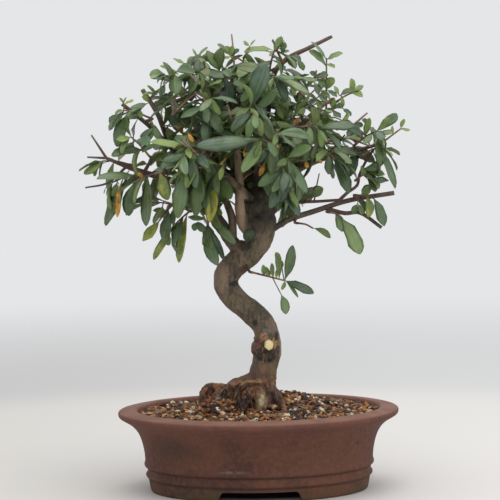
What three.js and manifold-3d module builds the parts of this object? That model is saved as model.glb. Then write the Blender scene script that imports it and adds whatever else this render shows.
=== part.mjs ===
// Pomegranate bonsai in an oval, unglazed stoneware pot.
// Millimetres, +Z up, and -Y is the side that the tree is looked at from.
// Everything is modelled about the middle of the pot's foot. The last lines move the whole part so that
// the origin is on the ground under the middle of its bounding box: the crown leans to the left.
import * as THREE from "three";
import { mergeVertices } from "three/addons/utils/BufferGeometryUtils.js";
import Module from "manifold-3d";

const wasm = await Module();
wasm.setup();

// Driving dimensions

const CLEARANCE = 0.35; // between pieces that touch
const SLACK = 0.02; // how far a joined surface may lie from the surfaces that it came from

const POT_PLACE = new THREE.Vector3(4.5, 1, 0);
const POT_HALF_LENGTH = 99;
const POT_HALF_DEPTH = 77;
const POT_INSET = POT_HALF_LENGTH - POT_HALF_DEPTH;
const POT_SEGMENTS = 36;
const FLOOR_TOP = 14;
const FOOT_HEIGHT = 7;
const FOOT_WIDTH = 13; // of the ring that the feet are left from
const FOOT_GAP_TOP = 52; // width of the gap between the two feet, under the pot and on the ground
const FOOT_GAP_BOTTOM = 60;
const DRAIN_RADIUS = 8;
const DRAIN_X = 34;
const MESH_SIDE = 26;
const MESH_THICK = 1.2;
const MESH_BAR = 2;
const MESH_HOLES = 3; // along each side

const SOIL_LEVEL = 54.2; // at the rim
const SOIL_SWELL = 2.4; // how much higher it lies in the middle
const SOIL_HEAP = new THREE.Vector3(18, 12, 10); // where it is heaped up behind the trunk, and how much
const SOIL_HEAP_RADIUS = 28;
const SOIL_CELL = 7.4;
const SOIL_RELIEF = 2.6; // between its lumps

const TREE_LEAN = THREE.MathUtils.degToRad(1); // to the right, about its foot

const CROWN = new THREE.Vector3(-8, 0, 236);
const REACH_LEFT = 78; // from the crown's middle to the tips of its leafy stems
const REACH_RIGHT = 71;
const REACH_DEPTH = 62;
const REACH_UP = 62;
const REACH_DOWN = 38;
const CROWN_STEMS = 38; // places for leafy stems, spread evenly over the crown
const STEM_SPACING = 25; // from the stems that are placed one by one
const CROWN_OPENINGS = [
  // In front of the head, and behind at the right. No leafy stem ends in one.
  new THREE.Vector3(-7, -50, 207),
  new THREE.Vector3(52, 31, 225),
];
const OPENING_RADIUS = 18;
const STEM_DROP = 8; // how far their roots lie below a straight line out of the crown's middle
const GOLDEN_ANGLE = 2.39996;
const STEM_RADIUS = 1;
const TWIG_END = 2.5; // length of the last stretch of the twig that carries it, in line with it
const BUDS = 30; // along each branch, where a twig may grow

const LEAF_RATIO = 0.33; // width by length
const LEAF_KEEL = 1.2; // depth at the rib
const LEAF_GAP = 0.3; // kept round a leaf
const LEAF_TRIES = 12; // ways that a leaf may turn to stay clear of its neighbours
const TURN_ON_STEM = 0.22; // and how far it turns from one try to the next, on its stem and about itself
const TURN_ABOUT_ITSELF = 0.15;
const KEPT_LENGTH = 21.7; // of the leaves placed by rule, those this long or longer are in the solids
const PLACED_BEND = 0.5; // angle through which a leaf that is placed by its tip arches
const LAST_LEAF = 0.97; // along a stem, where its last leaves grow

const STRAY_VOLUME = 0.01; // cubic millimetres that two pieces may seem to share when they are clear
const LEAVES_SHARE = 1; // volume that two leaves of one spray may share
const ROOT_SHARES = 8; // and that a leaf or a shoot may share with the stem that it grows from

// Small helpers

const at = (x, y, z) => new THREE.Vector3(x, y, z);
const vectors = (points) => points.map((point) => at(...point));
const between = (a, b, t) => a.clone().lerp(b, t);

// The value at t, from 0 to 1, of values spread evenly.
function spread(values, t) {
  const place = Math.min(t, 0.9999) * (values.length - 1);
  const low = Math.floor(place);
  return values[low] + (values[low + 1] - values[low]) * (place - low);
}

// Draws between 0 and 1, the same ones for the same seed.
function stream(seed) {
  let state = seed * 7919 + 104729;
  return () => {
    state = (state * 48271) % 2147483647;
    return state / 2147483647;
  };
}

// Solids

function solid(geometry) {
  const bare = new THREE.BufferGeometry().setAttribute("position", geometry.getAttribute("position"));
  bare.setIndex(geometry.index);
  const merged = mergeVertices(bare, 1e-4);
  const vertProperties = merged.getAttribute("position").array;
  const triVerts = new Uint32Array(merged.index.array);
  return new wasm.Manifold(new wasm.Mesh({ numProp: 3, vertProperties, triVerts }));
}

function geometryOf(body) {
  const { vertProperties, triVerts } = body.getMesh();
  const geometry = new THREE.BufferGeometry();
  geometry.setAttribute("position", new THREE.BufferAttribute(new Float32Array(vertProperties), 3));
  geometry.setIndex(new THREE.BufferAttribute(new Uint32Array(triVerts), 1));
  return geometry;
}

const union = (bodies) => wasm.Manifold.union(bodies).simplify(SLACK);

// Moves every vertex of a geometry by a function that changes the vector it is given.
function reshape(geometry, move) {
  const position = geometry.getAttribute("position");
  const p = new THREE.Vector3();
  for (let i = 0; i < position.count; i++) {
    move(p.fromBufferAttribute(position, i));
    position.setXYZ(i, p.x, p.y, p.z);
  }
  return geometry;
}

function lathe(profile, segments) {
  return new THREE.LatheGeometry(
    profile.map(([radius, height]) => new THREE.Vector2(radius, height)),
    segments,
  );
}

// A rod with flat ends, whose rings stand at the given centres.
function rod(centres, radii, sides) {
  const frames = new THREE.CatmullRomCurve3(centres).computeFrenetFrames(centres.length - 1);
  const profile = [[0, 0], ...radii.map((radius, ring) => [radius, ring]), [0, radii.length - 1]];
  return solid(
    reshape(lathe(profile, sides), (p) => {
      const ring = Math.round(p.y);
      const { x, z } = p;
      p.copy(centres[ring]).addScaledVector(frames.binormals[ring], x);
      p.addScaledVector(frames.normals[ring], z);
    }),
  );
}

// A limb along a smooth curve through the points, its radii spread evenly over them.
function limb({ points, radii, sides = 5, spans = 5 }, grow = 0) {
  const curve = new THREE.CatmullRomCurve3(vectors(points));
  const steps = Array.from({ length: spans + 1 }, (_, i) => curve.getUtoTmapping(i / spans));
  return rod(
    steps.map((t) => curve.getPoint(t)),
    steps.map((t) => spread(radii, t) + grow),
    sides,
  );
}

// The pot, turned and then made oval: a ring keeps its distance from the rim all the way round, so its
// depth is its length less a constant.

const POT_OUTSIDE = [
  [76.8, 0],
  [78, FOOT_HEIGHT],
  [79.8, 10],
  [79, 13],
  [81.4, 18],
  [80.8, 23],
  [82.6, 34.5],
  [87.5, 45.2],
  [97.2, 51.2],
  [99, 53.8],
  [97, 56.9],
];
const POT_INSIDE = [
  [86.4, 58],
  [79.5, 46],
  [75, 34],
  [72, 18],
  [68, FLOOR_TOP],
];

function oval(profile) {
  const closed = [[0, profile[0][1]], ...profile, [0, profile.at(-1)[1]]];
  const round = lathe(closed, POT_SEGMENTS).rotateX(Math.PI / 2);
  return solid(
    reshape(round, (p) => {
      const radius = Math.hypot(p.x, p.y);
      if (radius > POT_INSET) p.y *= (radius - POT_INSET) / radius;
    }),
  );
}

function footGap() {
  const side = FOOT_GAP_TOP / 2;
  const corner = 1.5;
  const outline = new THREE.Shape();
  outline.moveTo(-FOOT_GAP_BOTTOM / 2, -1);
  outline.lineTo(FOOT_GAP_BOTTOM / 2, -1);
  outline.lineTo(side, FOOT_HEIGHT - corner);
  outline.lineTo(side - corner, FOOT_HEIGHT);
  outline.lineTo(corner - side, FOOT_HEIGHT);
  outline.lineTo(-side, FOOT_HEIGHT - corner);
  const depth = 2 * POT_HALF_DEPTH;
  const gap = new THREE.ExtrudeGeometry(outline, { depth, bevelEnabled: false });
  return solid(gap.rotateX(Math.PI / 2).translate(0, depth / 2, 0));
}

function pot() {
  const inside = POT_OUTSIDE[0][0] - FOOT_WIDTH;
  const underside = oval([
    [inside, -1],
    [inside, FOOT_HEIGHT],
  ]);
  const drains = [-DRAIN_X, DRAIN_X].map((x) => {
    const hole = new THREE.CylinderGeometry(DRAIN_RADIUS, DRAIN_RADIUS, 2 * FLOOR_TOP, 14);
    return solid(hole.rotateX(Math.PI / 2).translate(x, 0, FLOOR_TOP));
  });
  return oval([...POT_OUTSIDE, ...POT_INSIDE]).subtract(union([underside, footGap(), ...drains]));
}

// A square of plastic mesh, which lies over a hole in the pot's floor and keeps the soil in.
function drainageMesh() {
  const pitch = (MESH_SIDE - MESH_BAR) / MESH_HOLES;
  const hole = pitch - MESH_BAR;
  const holes = [];
  for (let i = 0; i < MESH_HOLES; i++) {
    for (let j = 0; j < MESH_HOLES; j++) {
      const [left, front] = [i, j].map((number) => (number + 0.5 - MESH_HOLES / 2) * pitch);
      holes.push(solid(new THREE.BoxGeometry(hole, hole, 3 * MESH_THICK).translate(left, front, 0)));
    }
  }
  const sheet = solid(new THREE.BoxGeometry(MESH_SIDE, MESH_SIDE, MESH_THICK));
  return sheet.subtract(union(holes));
}

// Wood. The trunk winds up from the soil to a knobbly head, from which the branches spread.

const TRUNK = {
  points: [
    [1.8, -6, 32], [1.8, -6, 60], [2, -6, 73], [4.2, -5, 87], [6.3, -4, 98], [6.7, -3, 107.5],
    [2.5, -1, 117.5], [-6.7, 1, 126.5], [-15.9, 3, 133.6], [-22.2, 4, 142], [-22.6, 4, 150],
    [-17.3, 3, 157.6], [-8.8, 1, 164.6], [-0.4, -1, 173], [3.9, -2, 182.2], [3.9, -2, 193],
    [1.8, -1, 203.4], [-0.5, 0, 213],
  ],
  radii: [9, 11.4, 10, 9.3, 10, 8.6, 8.6, 8.5, 8.5, 8.7, 9.1, 9.3, 9.2, 8.6, 7.9, 7.5, 7, 4.6],
  sides: 9,
  spans: 24,
};

const BRANCHES = [
  {
    // The lowest, to the left
    points: [
      [-11, 2, 166], [-20, 1, 177], [-28.6, -2, 190.7], [-37, -6, 204], [-48, -11, 214], [-66, -16, 220],
      [-88, -19, 227], [-106, -20, 234.5],
    ],
    radii: [5.4, 4.8, 4.3, 3.9, 3.1, 2.4, 1.8, 1.2],
    spans: 9,
  },
  {
    // Its fork, up to a pruned end
    points: [[-36, -5, 202], [-48, 0, 222], [-62, 0, 243], [-70, -8, 264], [-80.5, -13, 281.4]],
    radii: [3.2, 2.4, 1.9, 1.6, 1.4],
  },
  {
    points: [[-56, 0, 235], [-75.5, -9, 255.6], [-94.5, -12, 271.3]],
    radii: [1.9, 1.6, 1.4],
    spans: 2,
  },
  {
    // The upright branch in front of the head
    points: [
      [-3, -6, 180], [-10.6, -9, 186.5], [-12.8, -10, 198], [-13.4, -10, 222], [-16, -8, 246],
      [-18, -4, 268], [-19, -1, 288],
    ],
    radii: [4.4, 4, 3.6, 3.1, 2.5, 1.9, 1.3],
    spans: 6,
  },
  {
    // The long low one to the right, with a fork that hangs
    points: [[6, -3, 181], [20, -6, 190], [40, -8, 197], [62, -9, 204], [94.5, -9, 209.5]],
    radii: [2.4, 2, 1.9, 1.7, 1.6],
  },
  {
    points: [[46, -9, 199], [60, -12, 195.5], [70, -13, 196], [85.5, -15, 185.6]],
    radii: [1.5, 1.5, 1.4, 1.2],
    spans: 4,
  },
  {
    points: [[6, 2, 202.7], [36, 6, 202.5], [58, 12, 203.5]],
    radii: [1.3, 1.1, 1],
    spans: 2,
  },
  {
    // A thin riser between the low branch and the middle one
    points: [
      [55, -9, 203], [62, -12, 210], [68.5, -13, 215], [70, -13, 222], [74.7, -13, 232], [80, -12, 240],
    ],
    radii: [1.3, 1.1, 1, 0.9],
  },
  {
    points: [[3, -1, 203], [22, -6, 222], [43, -10, 233], [64, -12, 238], [82, -12, 243]],
    radii: [3.4, 2.8, 2.2, 1.7, 1.2],
  },
  {
    points: [[2, -2, 203], [12, -4, 228], [22, -5, 246], [36, -4, 263], [52, -3, 275]],
    radii: [3.4, 2.8, 2.2, 1.7, 1.2],
  },
  {
    // The leader, which ends in a long pruned stub
    points: [
      [-0.5, 0, 208], [0, 3, 232], [5, 4, 258], [9, 2, 282], [12, 1, 294.5], [20.4, -1, 302.8],
      [36, -2.5, 310.6], [51.3, -4, 318.2],
    ],
    radii: [3.6, 3, 2.5, 2.1, 2, 1.9, 1.7, 1.5],
    spans: 8,
  },
  {
    // Behind, to the left, to the right and between
    points: [[-2, 2, 203], [-22, 24, 222], [-42, 42, 238], [-52, 46, 248]],
    radii: [3.2, 2.5, 1.8, 1.2],
    spans: 4,
  },
  {
    points: [[3, 3, 203], [22, 24, 220], [38, 40, 236], [46, 46, 246]],
    radii: [3.2, 2.5, 1.8, 1.2],
    spans: 4,
  },
  {
    points: [[-0.5, 3, 206], [-3, 26, 230], [-7, 42, 254], [-9, 46, 268]],
    radii: [3, 2.3, 1.7, 1.2],
    spans: 4,
  },
  {
    points: [[3, 2, 193], [10, 26, 203], [18, 44, 212]],
    radii: [2.8, 2.1, 1.4],
    spans: 3,
  },
  {
    // In front, to the left and to the right
    points: [[-3, -3, 203], [-20, -22, 220], [-34, -34, 234], [-42, -40, 244]],
    radii: [3, 2.3, 1.7, 1.1],
    spans: 4,
  },
  {
    points: [[3, -4, 203], [14, -24, 222], [24, -38, 238], [28, -44, 250]],
    radii: [3, 2.3, 1.7, 1.1],
    spans: 4,
  },
];

// Bare and pruned twigs
const STUBS = [
  [[-105, -20, 234], [-115.3, -21, 250]],
  [[-104, -20, 234], [-118.2, -22, 234.8]],
  [[-92, -19, 227.5], [-104, -19, 217], [-119.9, -18, 213.5]],
  [[-19, -1, 286], [-17, -2, 300], [-18.7, -2, 319.7]],
  [[17, -1, 300], [13, -2, 308], [9.7, -2, 316]],
  [[44, -10, 233], [55, -12, 244], [60, -12, 250]],
].map((points) => ({ points, radii: [1.1, 0.9], sides: 3, spans: points.length - 1 }));

// Roots above the soil: the arched one and the one under it, the left flare, the pale one in front, and
// those behind it
const ROOTS = [
  {
    points: [
      [-12, -8, 74], [-22, -9, 73.2], [-29.5, -9.5, 74.2], [-36.2, -10, 73], [-39.6, -10.5, 68.5],
      [-40.6, -11, 58], [-40.6, -11, 46],
    ],
    radii: [3.6, 2.7, 2.2, 2.1, 2.1, 2, 1.9],
    spans: 8,
  },
  {
    points: [[-13, -9, 71], [-22, -11, 70.4], [-29, -12, 68.5], [-33, -13, 62], [-34, -14, 46]],
    radii: [4, 3.4, 2.8, 2.2, 1.9],
  },
  {
    points: [[0, -6, 78], [-10, -7.5, 75.4], [-18, -10, 73], [-22.5, -14, 65], [-25, -17, 48]],
    radii: [7, 6, 5.2, 4.6, 3.4],
  },
  {
    points: [[2, -8, 78], [1.5, -14, 69], [2, -17, 58], [2.5, -18, 44]],
    radii: [6.2, 5, 4.6, 4],
  },
  {
    points: [[-2, -8, 75], [-8, -15, 68], [-12, -20, 60], [-13, -22, 46]],
    radii: [5, 4.4, 3.8, 2.8],
  },
  {
    points: [[4, -5, 78], [10, -8, 68], [15, -10, 60], [18, -11, 46]],
    radii: [6, 5, 4, 3],
  },
  {
    points: [[4, -2, 77], [9, 10, 68], [15, 20, 61], [18, 27, 48]],
    radii: [6, 4.6, 3.4, 2.6],
  },
  {
    points: [[-2, -2, 77], [-8, 10, 68], [-14, 19, 61], [-18, 26, 48]],
    radii: [6, 4.6, 3.4, 2.6],
  },
];

// The callus and the pale sawn face where a low branch was cut off
function wound() {
  const callus = new THREE.IcosahedronGeometry(6.4, 1).scale(1, 0.75, 1.1).translate(4.6, -11, 101);
  const cut = new THREE.CylinderGeometry(3.4, 4.4, 6, 9).rotateX(Math.PI / 2).rotateZ(0.35);
  return [solid(callus), solid(cut.translate(7.2, -15, 103.8))];
}

// Leafy stems. Each is a bowed main stem with side shoots. Leaves that make the tree's outline are written
// one by one, as a place along the main stem, the leaf's tip, its width and a turn about its own length.
// The others grow by rule, in pairs along the stems and three at each tip, and the stem's seed picks how.

const PLACED_STEMS = [
  // Hanging at the far left
  {
    start: [-82, -25, 223], tip: [-101, -28, 217.5], seed: 499,
    leaves: [[0.4, -105, -33, 188, 9], [1, -100.5, -29, 191, 6, 1.3], [0.15, -111, -33, 220, 8]],
  },
  {
    start: [-90, -13, 229.5], tip: [-108, -16, 232],
    leaves: [[1, -120.5, -21, 223, 6.5]],
  },
  {
    start: [-76, -20, 236], tip: [-88, -25, 249], pairs: 2, seed: 567,
    leaves: [[0.2, -101, -30, 236, 7.5], [1, -98, -28, 247, 7]],
  },
  {
    start: [-76, -14, 262], tip: [-93, -17, 267], pairs: 2, seed: 240,
    leaves: [[1, -103, -21, 253, 6.5], [0.3, -91, -26, 260, 7]],
  },
  {
    start: [-50, -14, 280], tip: [-64, -18, 291], pairs: 2, shoots: 1, seed: 512,
    leaves: [[0.9, -75, -24, 291, 7], [0.4, -66, -22, 300, 5.5], [0.1, -45, -22, 304, 6.5]],
  },
  {
    start: [-66, -27, 225], tip: [-86, -32, 217.5],
    leaves: [[1, -89, -36, 195, 9], [0.5, -77, -36, 188, 8.5], [0.1, -62, -38, 206, 9]],
  },
  {
    start: [-38, -35, 228], tip: [-52, -42, 225.5], pairs: 2,
    leaves: [[0.9, -55, -47, 194, 10.5], [0.3, -43, -46, 195, 11]],
  },
  {
    start: [-24, -29, 222], tip: [-34, -37, 217.5],
    leaves: [[0.9, -33, -43, 191, 9], [0.2, -19, -45, 207, 9]],
  },
  // Below the low branch at the left
  {
    start: [-33, -12, 195], tip: [-36, -18, 184.5], seed: 482,
    leaves: [[1, -28.5, -24, 160, 8.5], [0.8, -23.5, -22, 163, 4.5], [0.3, -16, -22, 175, 7]],
  },
  {
    start: [-42, -15, 201], tip: [-60, -20, 186], shoots: 1, seed: 314,
    leaves: [[0.75, -56, -25, 177, 7], [1, -72.5, -25, 164, 6], [0.4, -55, -25, 162, 6.5]],
  },
  {
    start: [-54, -16, 207], tip: [-69, -21, 190.5], shoots: 1,
    leaves: [[1, -80, -27, 177, 7.5], [0.6, -73, -24, 198, 5]],
  },
  // The crown's face
  {
    start: [-5, -40, 257], tip: [-6, -52, 269.5], pairs: 3, shoots: 2,
    leaves: [[1, 5.2, -54, 299, 13], [0.3, 13, -52, 281, 7.5]],
  },
  {
    start: [10, -55, 243], tip: [1, -66, 248], pairs: 3, shoots: 1,
    leaves: [[1, -42, -68, 243.5, 10.5], [0.9, -11, -72, 226, 9], [0.3, -4, -66, 231, 7]],
  },
  {
    start: [-38, -42, 236], tip: [-50, -50, 243], pairs: 3, shoots: 1,
    leaves: [[0.5, -66, -54, 228, 9.5], [1, -73, -52, 246, 6.5]],
  },
  {
    start: [13, -50, 229], tip: [19, -62, 235], pairs: 2, shoots: 1,
    leaves: [[1, 35, -66, 243, 8.5], [0.4, 8.5, -68, 215, 8], [0.9, 32, -64, 212, 7.5]],
  },
  {
    start: [12, -42, 221], tip: [17, -49, 218], seed: 376,
    leaves: [[1, 27, -55, 196, 7.5]],
  },
  {
    start: [42, -38, 240], tip: [52, -45, 234], pairs: 3, shoots: 1, seed: 386,
    leaves: [[1, 61, -49, 211, 9], [0.5, 47, -50, 224, 6.5]],
  },
  {
    start: [28, -46, 256], tip: [40, -54, 255], pairs: 3, shoots: 1,
    leaves: [[1, 65, -59, 257, 7.5], [0.7, 36, -60, 270, 7]],
  },
  {
    start: [4, -22, 284], tip: [10, -38, 290], pairs: 3, shoots: 2,
    leaves: [[1, 33, -50, 279, 8.5], [0.8, -15, -44, 296, 9]],
  },
  {
    start: [8, -8, 297], tip: [11, -12, 308.5], pairs: 2,
    leaves: [[1, -10, -16, 307, 5.5], [0.8, 16, -14, 318, 4.5]],
  },
  {
    start: [-22, -8, 284], tip: [-27, -15, 294], pairs: 3, shoots: 1,
    leaves: [[1, -25.5, -20, 310, 7.5], [0.9, -36, -20, 308, 6]],
  },
  {
    start: [-31, -28, 264], tip: [-38, -36, 271], pairs: 3, shoots: 2,
    leaves: [[1, -53, -46, 262, 8]],
  },
  // The right side
  {
    start: [46.8, -15, 262], tip: [46.8, -17, 303], bow: 0, pairs: 0,
    leaves: [
      [0.85, 34.5, -20, 308, 6.5], [1, 58, -20, 306, 6], [0.97, 36, -19, 314, 4],
      [0.9, 52, -23, 296, 4.5],
    ],
  },
  {
    start: [56, -6, 274], tip: [65, -7, 279], bow: 0.5, pairs: 0,
    leaves: [[1, 73, -8, 284, 5], [0.9, 64, -12, 289, 5], [0.8, 72, -13, 276, 5]],
  },
  {
    start: [85, -12, 244], tip: [99, -13, 254.5], bow: 0, pairs: 0,
    leaves: [[1, 101, -13, 261, 3], [0.95, 105, -15, 253, 3.5], [0.6, 92, -17, 256, 4]],
  },
  {
    start: [68, -16, 244], tip: [82, -19, 253], pairs: 2, shoots: 1, seed: 464,
    leaves: [[1, 90, -22, 262, 5], [0.9, 94, -25, 251, 5.5], [0.4, 76, -26, 262, 5]],
  },
  {
    start: [72, -17, 236], tip: [84, -20, 241.5], seed: 463,
    leaves: [[1, 94, -25, 213, 6.5]],
  },
  {
    start: [69, -17, 220], tip: [75, -21, 223], pairs: 0,
    leaves: [[1, 90, -28, 230, 11.5], [0.7, 88, -28, 211, 9.5]],
  },
  {
    start: [50, -13, 196], tip: [58, -15, 192.5], pairs: 0,
    leaves: [[1, 70.5, -20, 167.5, 11.5], [0.4, 58, -20, 183, 7]],
  },
  {
    start: [69, -13, 208], tip: [80, -16, 206], pairs: 0,
    leaves: [[1, 87, -21, 187, 9], [0.5, 76, -21, 193, 6], [0.2, 78, -18, 215, 6.5]],
  },
  {
    start: [28, -12, 188.5], tip: [38, -14, 185], pairs: 0,
    leaves: [[1, 50, -16, 178.5, 4.5]],
  },
  {
    start: [34, 3, 204], tip: [38, -2, 206], pairs: 0,
    leaves: [[1, 45, -8, 213, 7.5]],
  },
  // The shoot low on the trunk
  {
    start: [-3.5, -11, 153.9], tip: [18.8, -13, 148.4], bow: 0, pairs: 0,
    leaves: [
      [1, 23.8, -16, 173.5, 7], [0.97, 38.5, -18, 140, 6.5], [0.62, 20, -18, 124.5, 7],
      [0.8, 12.5, -17, 167, 4], [0.35, 3, -17, 160, 3.5],
    ],
  },
  // At the top
  {
    start: [-2, -14, 282], tip: [-4, -26, 293], pairs: 3, shoots: 1, seed: 201,
    leaves: [[0.9, -13, -34, 281, 7.5]],
  },
  {
    start: [-38, -10, 284], tip: [-45, -17, 295], pairs: 3, shoots: 1, seed: 226,
    leaves: [[1, -47, -22, 304, 6]],
  },
];

function placedSprays() {
  return PLACED_STEMS.map(({ start, tip, bow = 1, pairs = 1, shoots = 0, seed, leaves }, i) => ({
    start: at(...start),
    tip: at(...tip),
    bow,
    pairs,
    shoots,
    droop: 0.7,
    placed: leaves,
    draw: stream(seed ?? 101 + i),
  }));
}

// How far the crown's stems reach from its middle, in a direction.
function reach(direction) {
  const sideways = direction.x < 0 ? REACH_LEFT : REACH_RIGHT;
  const height = direction.z > 0 ? REACH_UP : REACH_DOWN;
  return 1 / Math.hypot(direction.x / sideways, direction.y / REACH_DEPTH, direction.z / height);
}

function crownSprays(placed) {
  const found = [];
  for (let i = 0; i < CROWN_STEMS; i++) {
    const draw = stream(i + 1);
    const rise = 1 - (1.5 * (i + 0.5)) / CROWN_STEMS;
    const level = Math.sqrt(1 - rise * rise);
    const direction = at(level * Math.cos(i * GOLDEN_ANGLE), level * Math.sin(i * GOLDEN_ANGLE), rise);
    const distance = reach(direction) * (0.94 + 0.12 * draw());
    const length = 28 + 8 * draw();
    const tip = CROWN.clone().addScaledVector(direction, distance);
    if (placed.some((spray) => spray.tip.distanceTo(tip) < STEM_SPACING)) continue;
    if (CROWN_OPENINGS.some((middle) => middle.distanceTo(tip) < OPENING_RADIUS)) continue;
    found.push({
      start: CROWN.clone().addScaledVector(direction, distance - length).add(at(0, 0, -STEM_DROP)),
      tip,
      bow: 2.5,
      pairs: 3,
      shoots: 2,
      droop: 0.25 + 0.5 * (1 - Math.max(rise, 0)),
      placed: [],
      draw,
    });
  }
  return found;
}

// A stem is straight from its root to its middle and on to its tip.
function stem(root, tip, bow, radii, sides) {
  return { rings: [root, between(root, tip, 0.5).add(at(0, 0, bow)), tip], radii, sides };
}

function onStem({ rings: [root, middle, tip] }, t) {
  return t < 0.5 ? between(root, middle, 2 * t) : between(middle, tip, 2 * t - 1);
}

function heading({ rings: [root, middle, tip] }, t) {
  const [from, to] = t < 0.5 ? [root, middle] : [middle, tip];
  return to.clone().sub(from).normalize();
}

// The direction at right angles to a stem, turned about it from the level.
function outwards(along, turn) {
  const level = along.clone().cross(at(0, 0, 1));
  if (level.lengthSq() < 0.01) level.set(1, 0, 0);
  level.normalize();
  const other = level.clone().cross(along).normalize();
  return level.multiplyScalar(Math.cos(turn)).addScaledVector(other, Math.sin(turn));
}

function stemsOf(spray) {
  const { draw } = spray;
  const main = stem(spray.start, spray.tip, spray.bow, [STEM_RADIUS, 0.9, 0.75], 4);
  const made = [main];
  const turn = draw() * Math.PI * 2;
  for (let i = 0; i < spray.shoots; i++) {
    const t = 0.3 + 0.3 * i + 0.1 * draw();
    const length = 13 + 6 * draw();
    const root = onStem(main, t);
    const tip = root.clone().addScaledVector(heading(main, t), 0.6 * length);
    tip.addScaledVector(outwards(heading(main, t), turn + i * 2.6), 0.8 * length).add(at(0, 0, 1.5));
    made.push(stem(root, tip, 0.7, [0.75, 0.7, 0.6], 3));
  }
  return made;
}

// A leaf written by its tip: its upper face looks up and to the front.
function placedLeaf(main, [t, x, y, z, width, turn = 0]) {
  const place = Math.min(t, LAST_LEAF);
  const base = onStem(main, place);
  const chord = at(x, y, z).sub(base);
  const span = chord.length();
  const bend = PLACED_BEND;
  chord.normalize();
  const normal = at(0, -0.75, 0.65).addScaledVector(base.clone().sub(CROWN).normalize(), 0.3);
  normal.addScaledVector(chord, -normal.dot(chord)).normalize().applyAxisAngle(chord, turn);
  const direction = chord.clone().multiplyScalar(Math.cos(bend / 2));
  direction.addScaledVector(normal, Math.sin(bend / 2));
  normal.multiplyScalar(Math.cos(bend / 2)).addScaledVector(chord, -Math.sin(bend / 2));
  const length = (span * bend) / (2 * Math.sin(bend / 2));
  return { base, along: heading(main, place), direction, normal, length, width, bend };
}

// A leaf placed by rule leaves its stem sideways and forwards, droops, and turns its upper face to the
// light, up and out of the crown.
function grownLeaf(spray, part, t, turn, forward, length) {
  const { draw, droop } = spray;
  const base = onStem(part, t);
  const along = heading(part, t);
  const direction = outwards(along, turn).multiplyScalar(0.8).addScaledVector(along, forward);
  direction.normalize().add(at(0, 0, -droop)).normalize();
  const normal = at(0, 0, 0.8).addScaledVector(base.clone().sub(CROWN).normalize(), 0.75);
  normal.addScaledVector(direction, -normal.dot(direction)).normalize();
  normal.applyAxisAngle(direction, 1.3 * (draw() - 0.5));
  return { base, along, direction, normal, length, width: length * LEAF_RATIO, bend: 0.25 + 0.7 * draw() };
}

function grownLeaves(spray, part, isMain) {
  const { draw } = spray;
  const leaves = [];
  const pairs = isMain ? spray.pairs : 1;
  const first = draw() * Math.PI;
  for (let pair = 0; pair < pairs; pair++) {
    const t = (pair + 0.9) / (pairs + 0.6);
    for (const half of [0, Math.PI]) {
      const length = isMain ? 13 + 16 * draw() : 12 + 13 * draw();
      leaves.push(grownLeaf(spray, part, t, first + pair * 1.6 + half, 0.5, length));
    }
  }
  for (let i = 0; i < 3 && (pairs || !isMain); i++) {
    const length = i ? 10 + 10 * draw() : 19.5 + 4 * draw();
    leaves.push(grownLeaf(spray, part, LAST_LEAF, first + 1 + i * 2.1, 0.95, length));
  }
  return leaves;
}

// A leaf turned on its stem and about itself, a little further on each attempt, to alternate sides.
function turned(leaf, attempt) {
  const step = Math.ceil(attempt / 2) * (attempt % 2 ? 1 : -1);
  const direction = leaf.direction.clone().applyAxisAngle(leaf.along, TURN_ON_STEM * step);
  const normal = leaf.normal.clone().applyAxisAngle(leaf.along, TURN_ON_STEM * step);
  return { ...leaf, direction, normal: normal.applyAxisAngle(direction, TURN_ABOUT_ITSELF * step) };
}

const STATIONS = [0, 0.38, 0.72, 1];
const HALF_WIDTHS = [0, 0.86, 0.92, 0];

// A three-sided blade, pinched to a point at both ends and arched. It has a flat upper face and, for the
// rib, a keel under it.
function blade(leaf, grow = 0) {
  const bar = lathe([[0, 0], [1, 1], [1, 2], [0, 3]], 3);
  const side = leaf.normal.clone().cross(leaf.direction);
  const centre = leaf.base.clone().addScaledVector(leaf.normal, -leaf.length / leaf.bend);
  return solid(
    reshape(bar, (p) => {
      const station = Math.round(p.y);
      const edge = Math.round(Math.atan2(p.x, p.z) / 2); // -1 or 1, and 0 on the keel
      const inner = HALF_WIDTHS[station] > 0;
      const half = inner ? 0.5 * HALF_WIDTHS[station] * leaf.width + 2 * grow : 0;
      const height = edge ? grow : -LEAF_KEEL - 2 * grow;
      const radius = leaf.length / leaf.bend + (inner ? height : 0);
      const angle = leaf.bend * STATIONS[station];
      p.copy(centre).addScaledVector(side, edge * half);
      p.addScaledVector(leaf.direction, radius * Math.sin(angle));
      p.addScaledVector(leaf.normal, radius * Math.cos(angle));
    }),
  );
}

// Everything grown so far, which what grows next keeps clear of
const grown = [];

function remember(body, owner, isLeaf = false) {
  grown.push({ body, owner, isLeaf, box: body.boundingBox() });
}

const apart = (a, b) => [0, 1, 2].some((i) => a.min[i] > b.max[i] || b.min[i] > a.max[i]);

// Whether a body crosses no other spray or wood. In its own spray it may share its root with the stem, and
// touch the other leaves there.
function clear(body, owner) {
  const box = body.boundingBox();
  return grown.every((other) => {
    if (apart(box, other.box)) return true;
    const allowed = other.isLeaf ? LEAVES_SHARE : ROOT_SHARES;
    return body.intersect(other.body).volume() < (other.owner === owner ? allowed : STRAY_VOLUME);
  });
}

// The tree

const wood = [TRUNK, ...BRANCHES, ...STUBS, ...ROOTS].map((shape) => limb(shape)).concat(wound());

// Places on the wood that a twig can grow from
const buds = [TRUNK, ...BRANCHES].flatMap(({ points, radii }) => {
  const curve = new THREE.CatmullRomCurve3(vectors(points));
  return Array.from({ length: BUDS }, (_, i) => {
    const t = (i + 1) / BUDS;
    return { point: curve.getPoint(t), radius: spread(radii, t) };
  });
});

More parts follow.
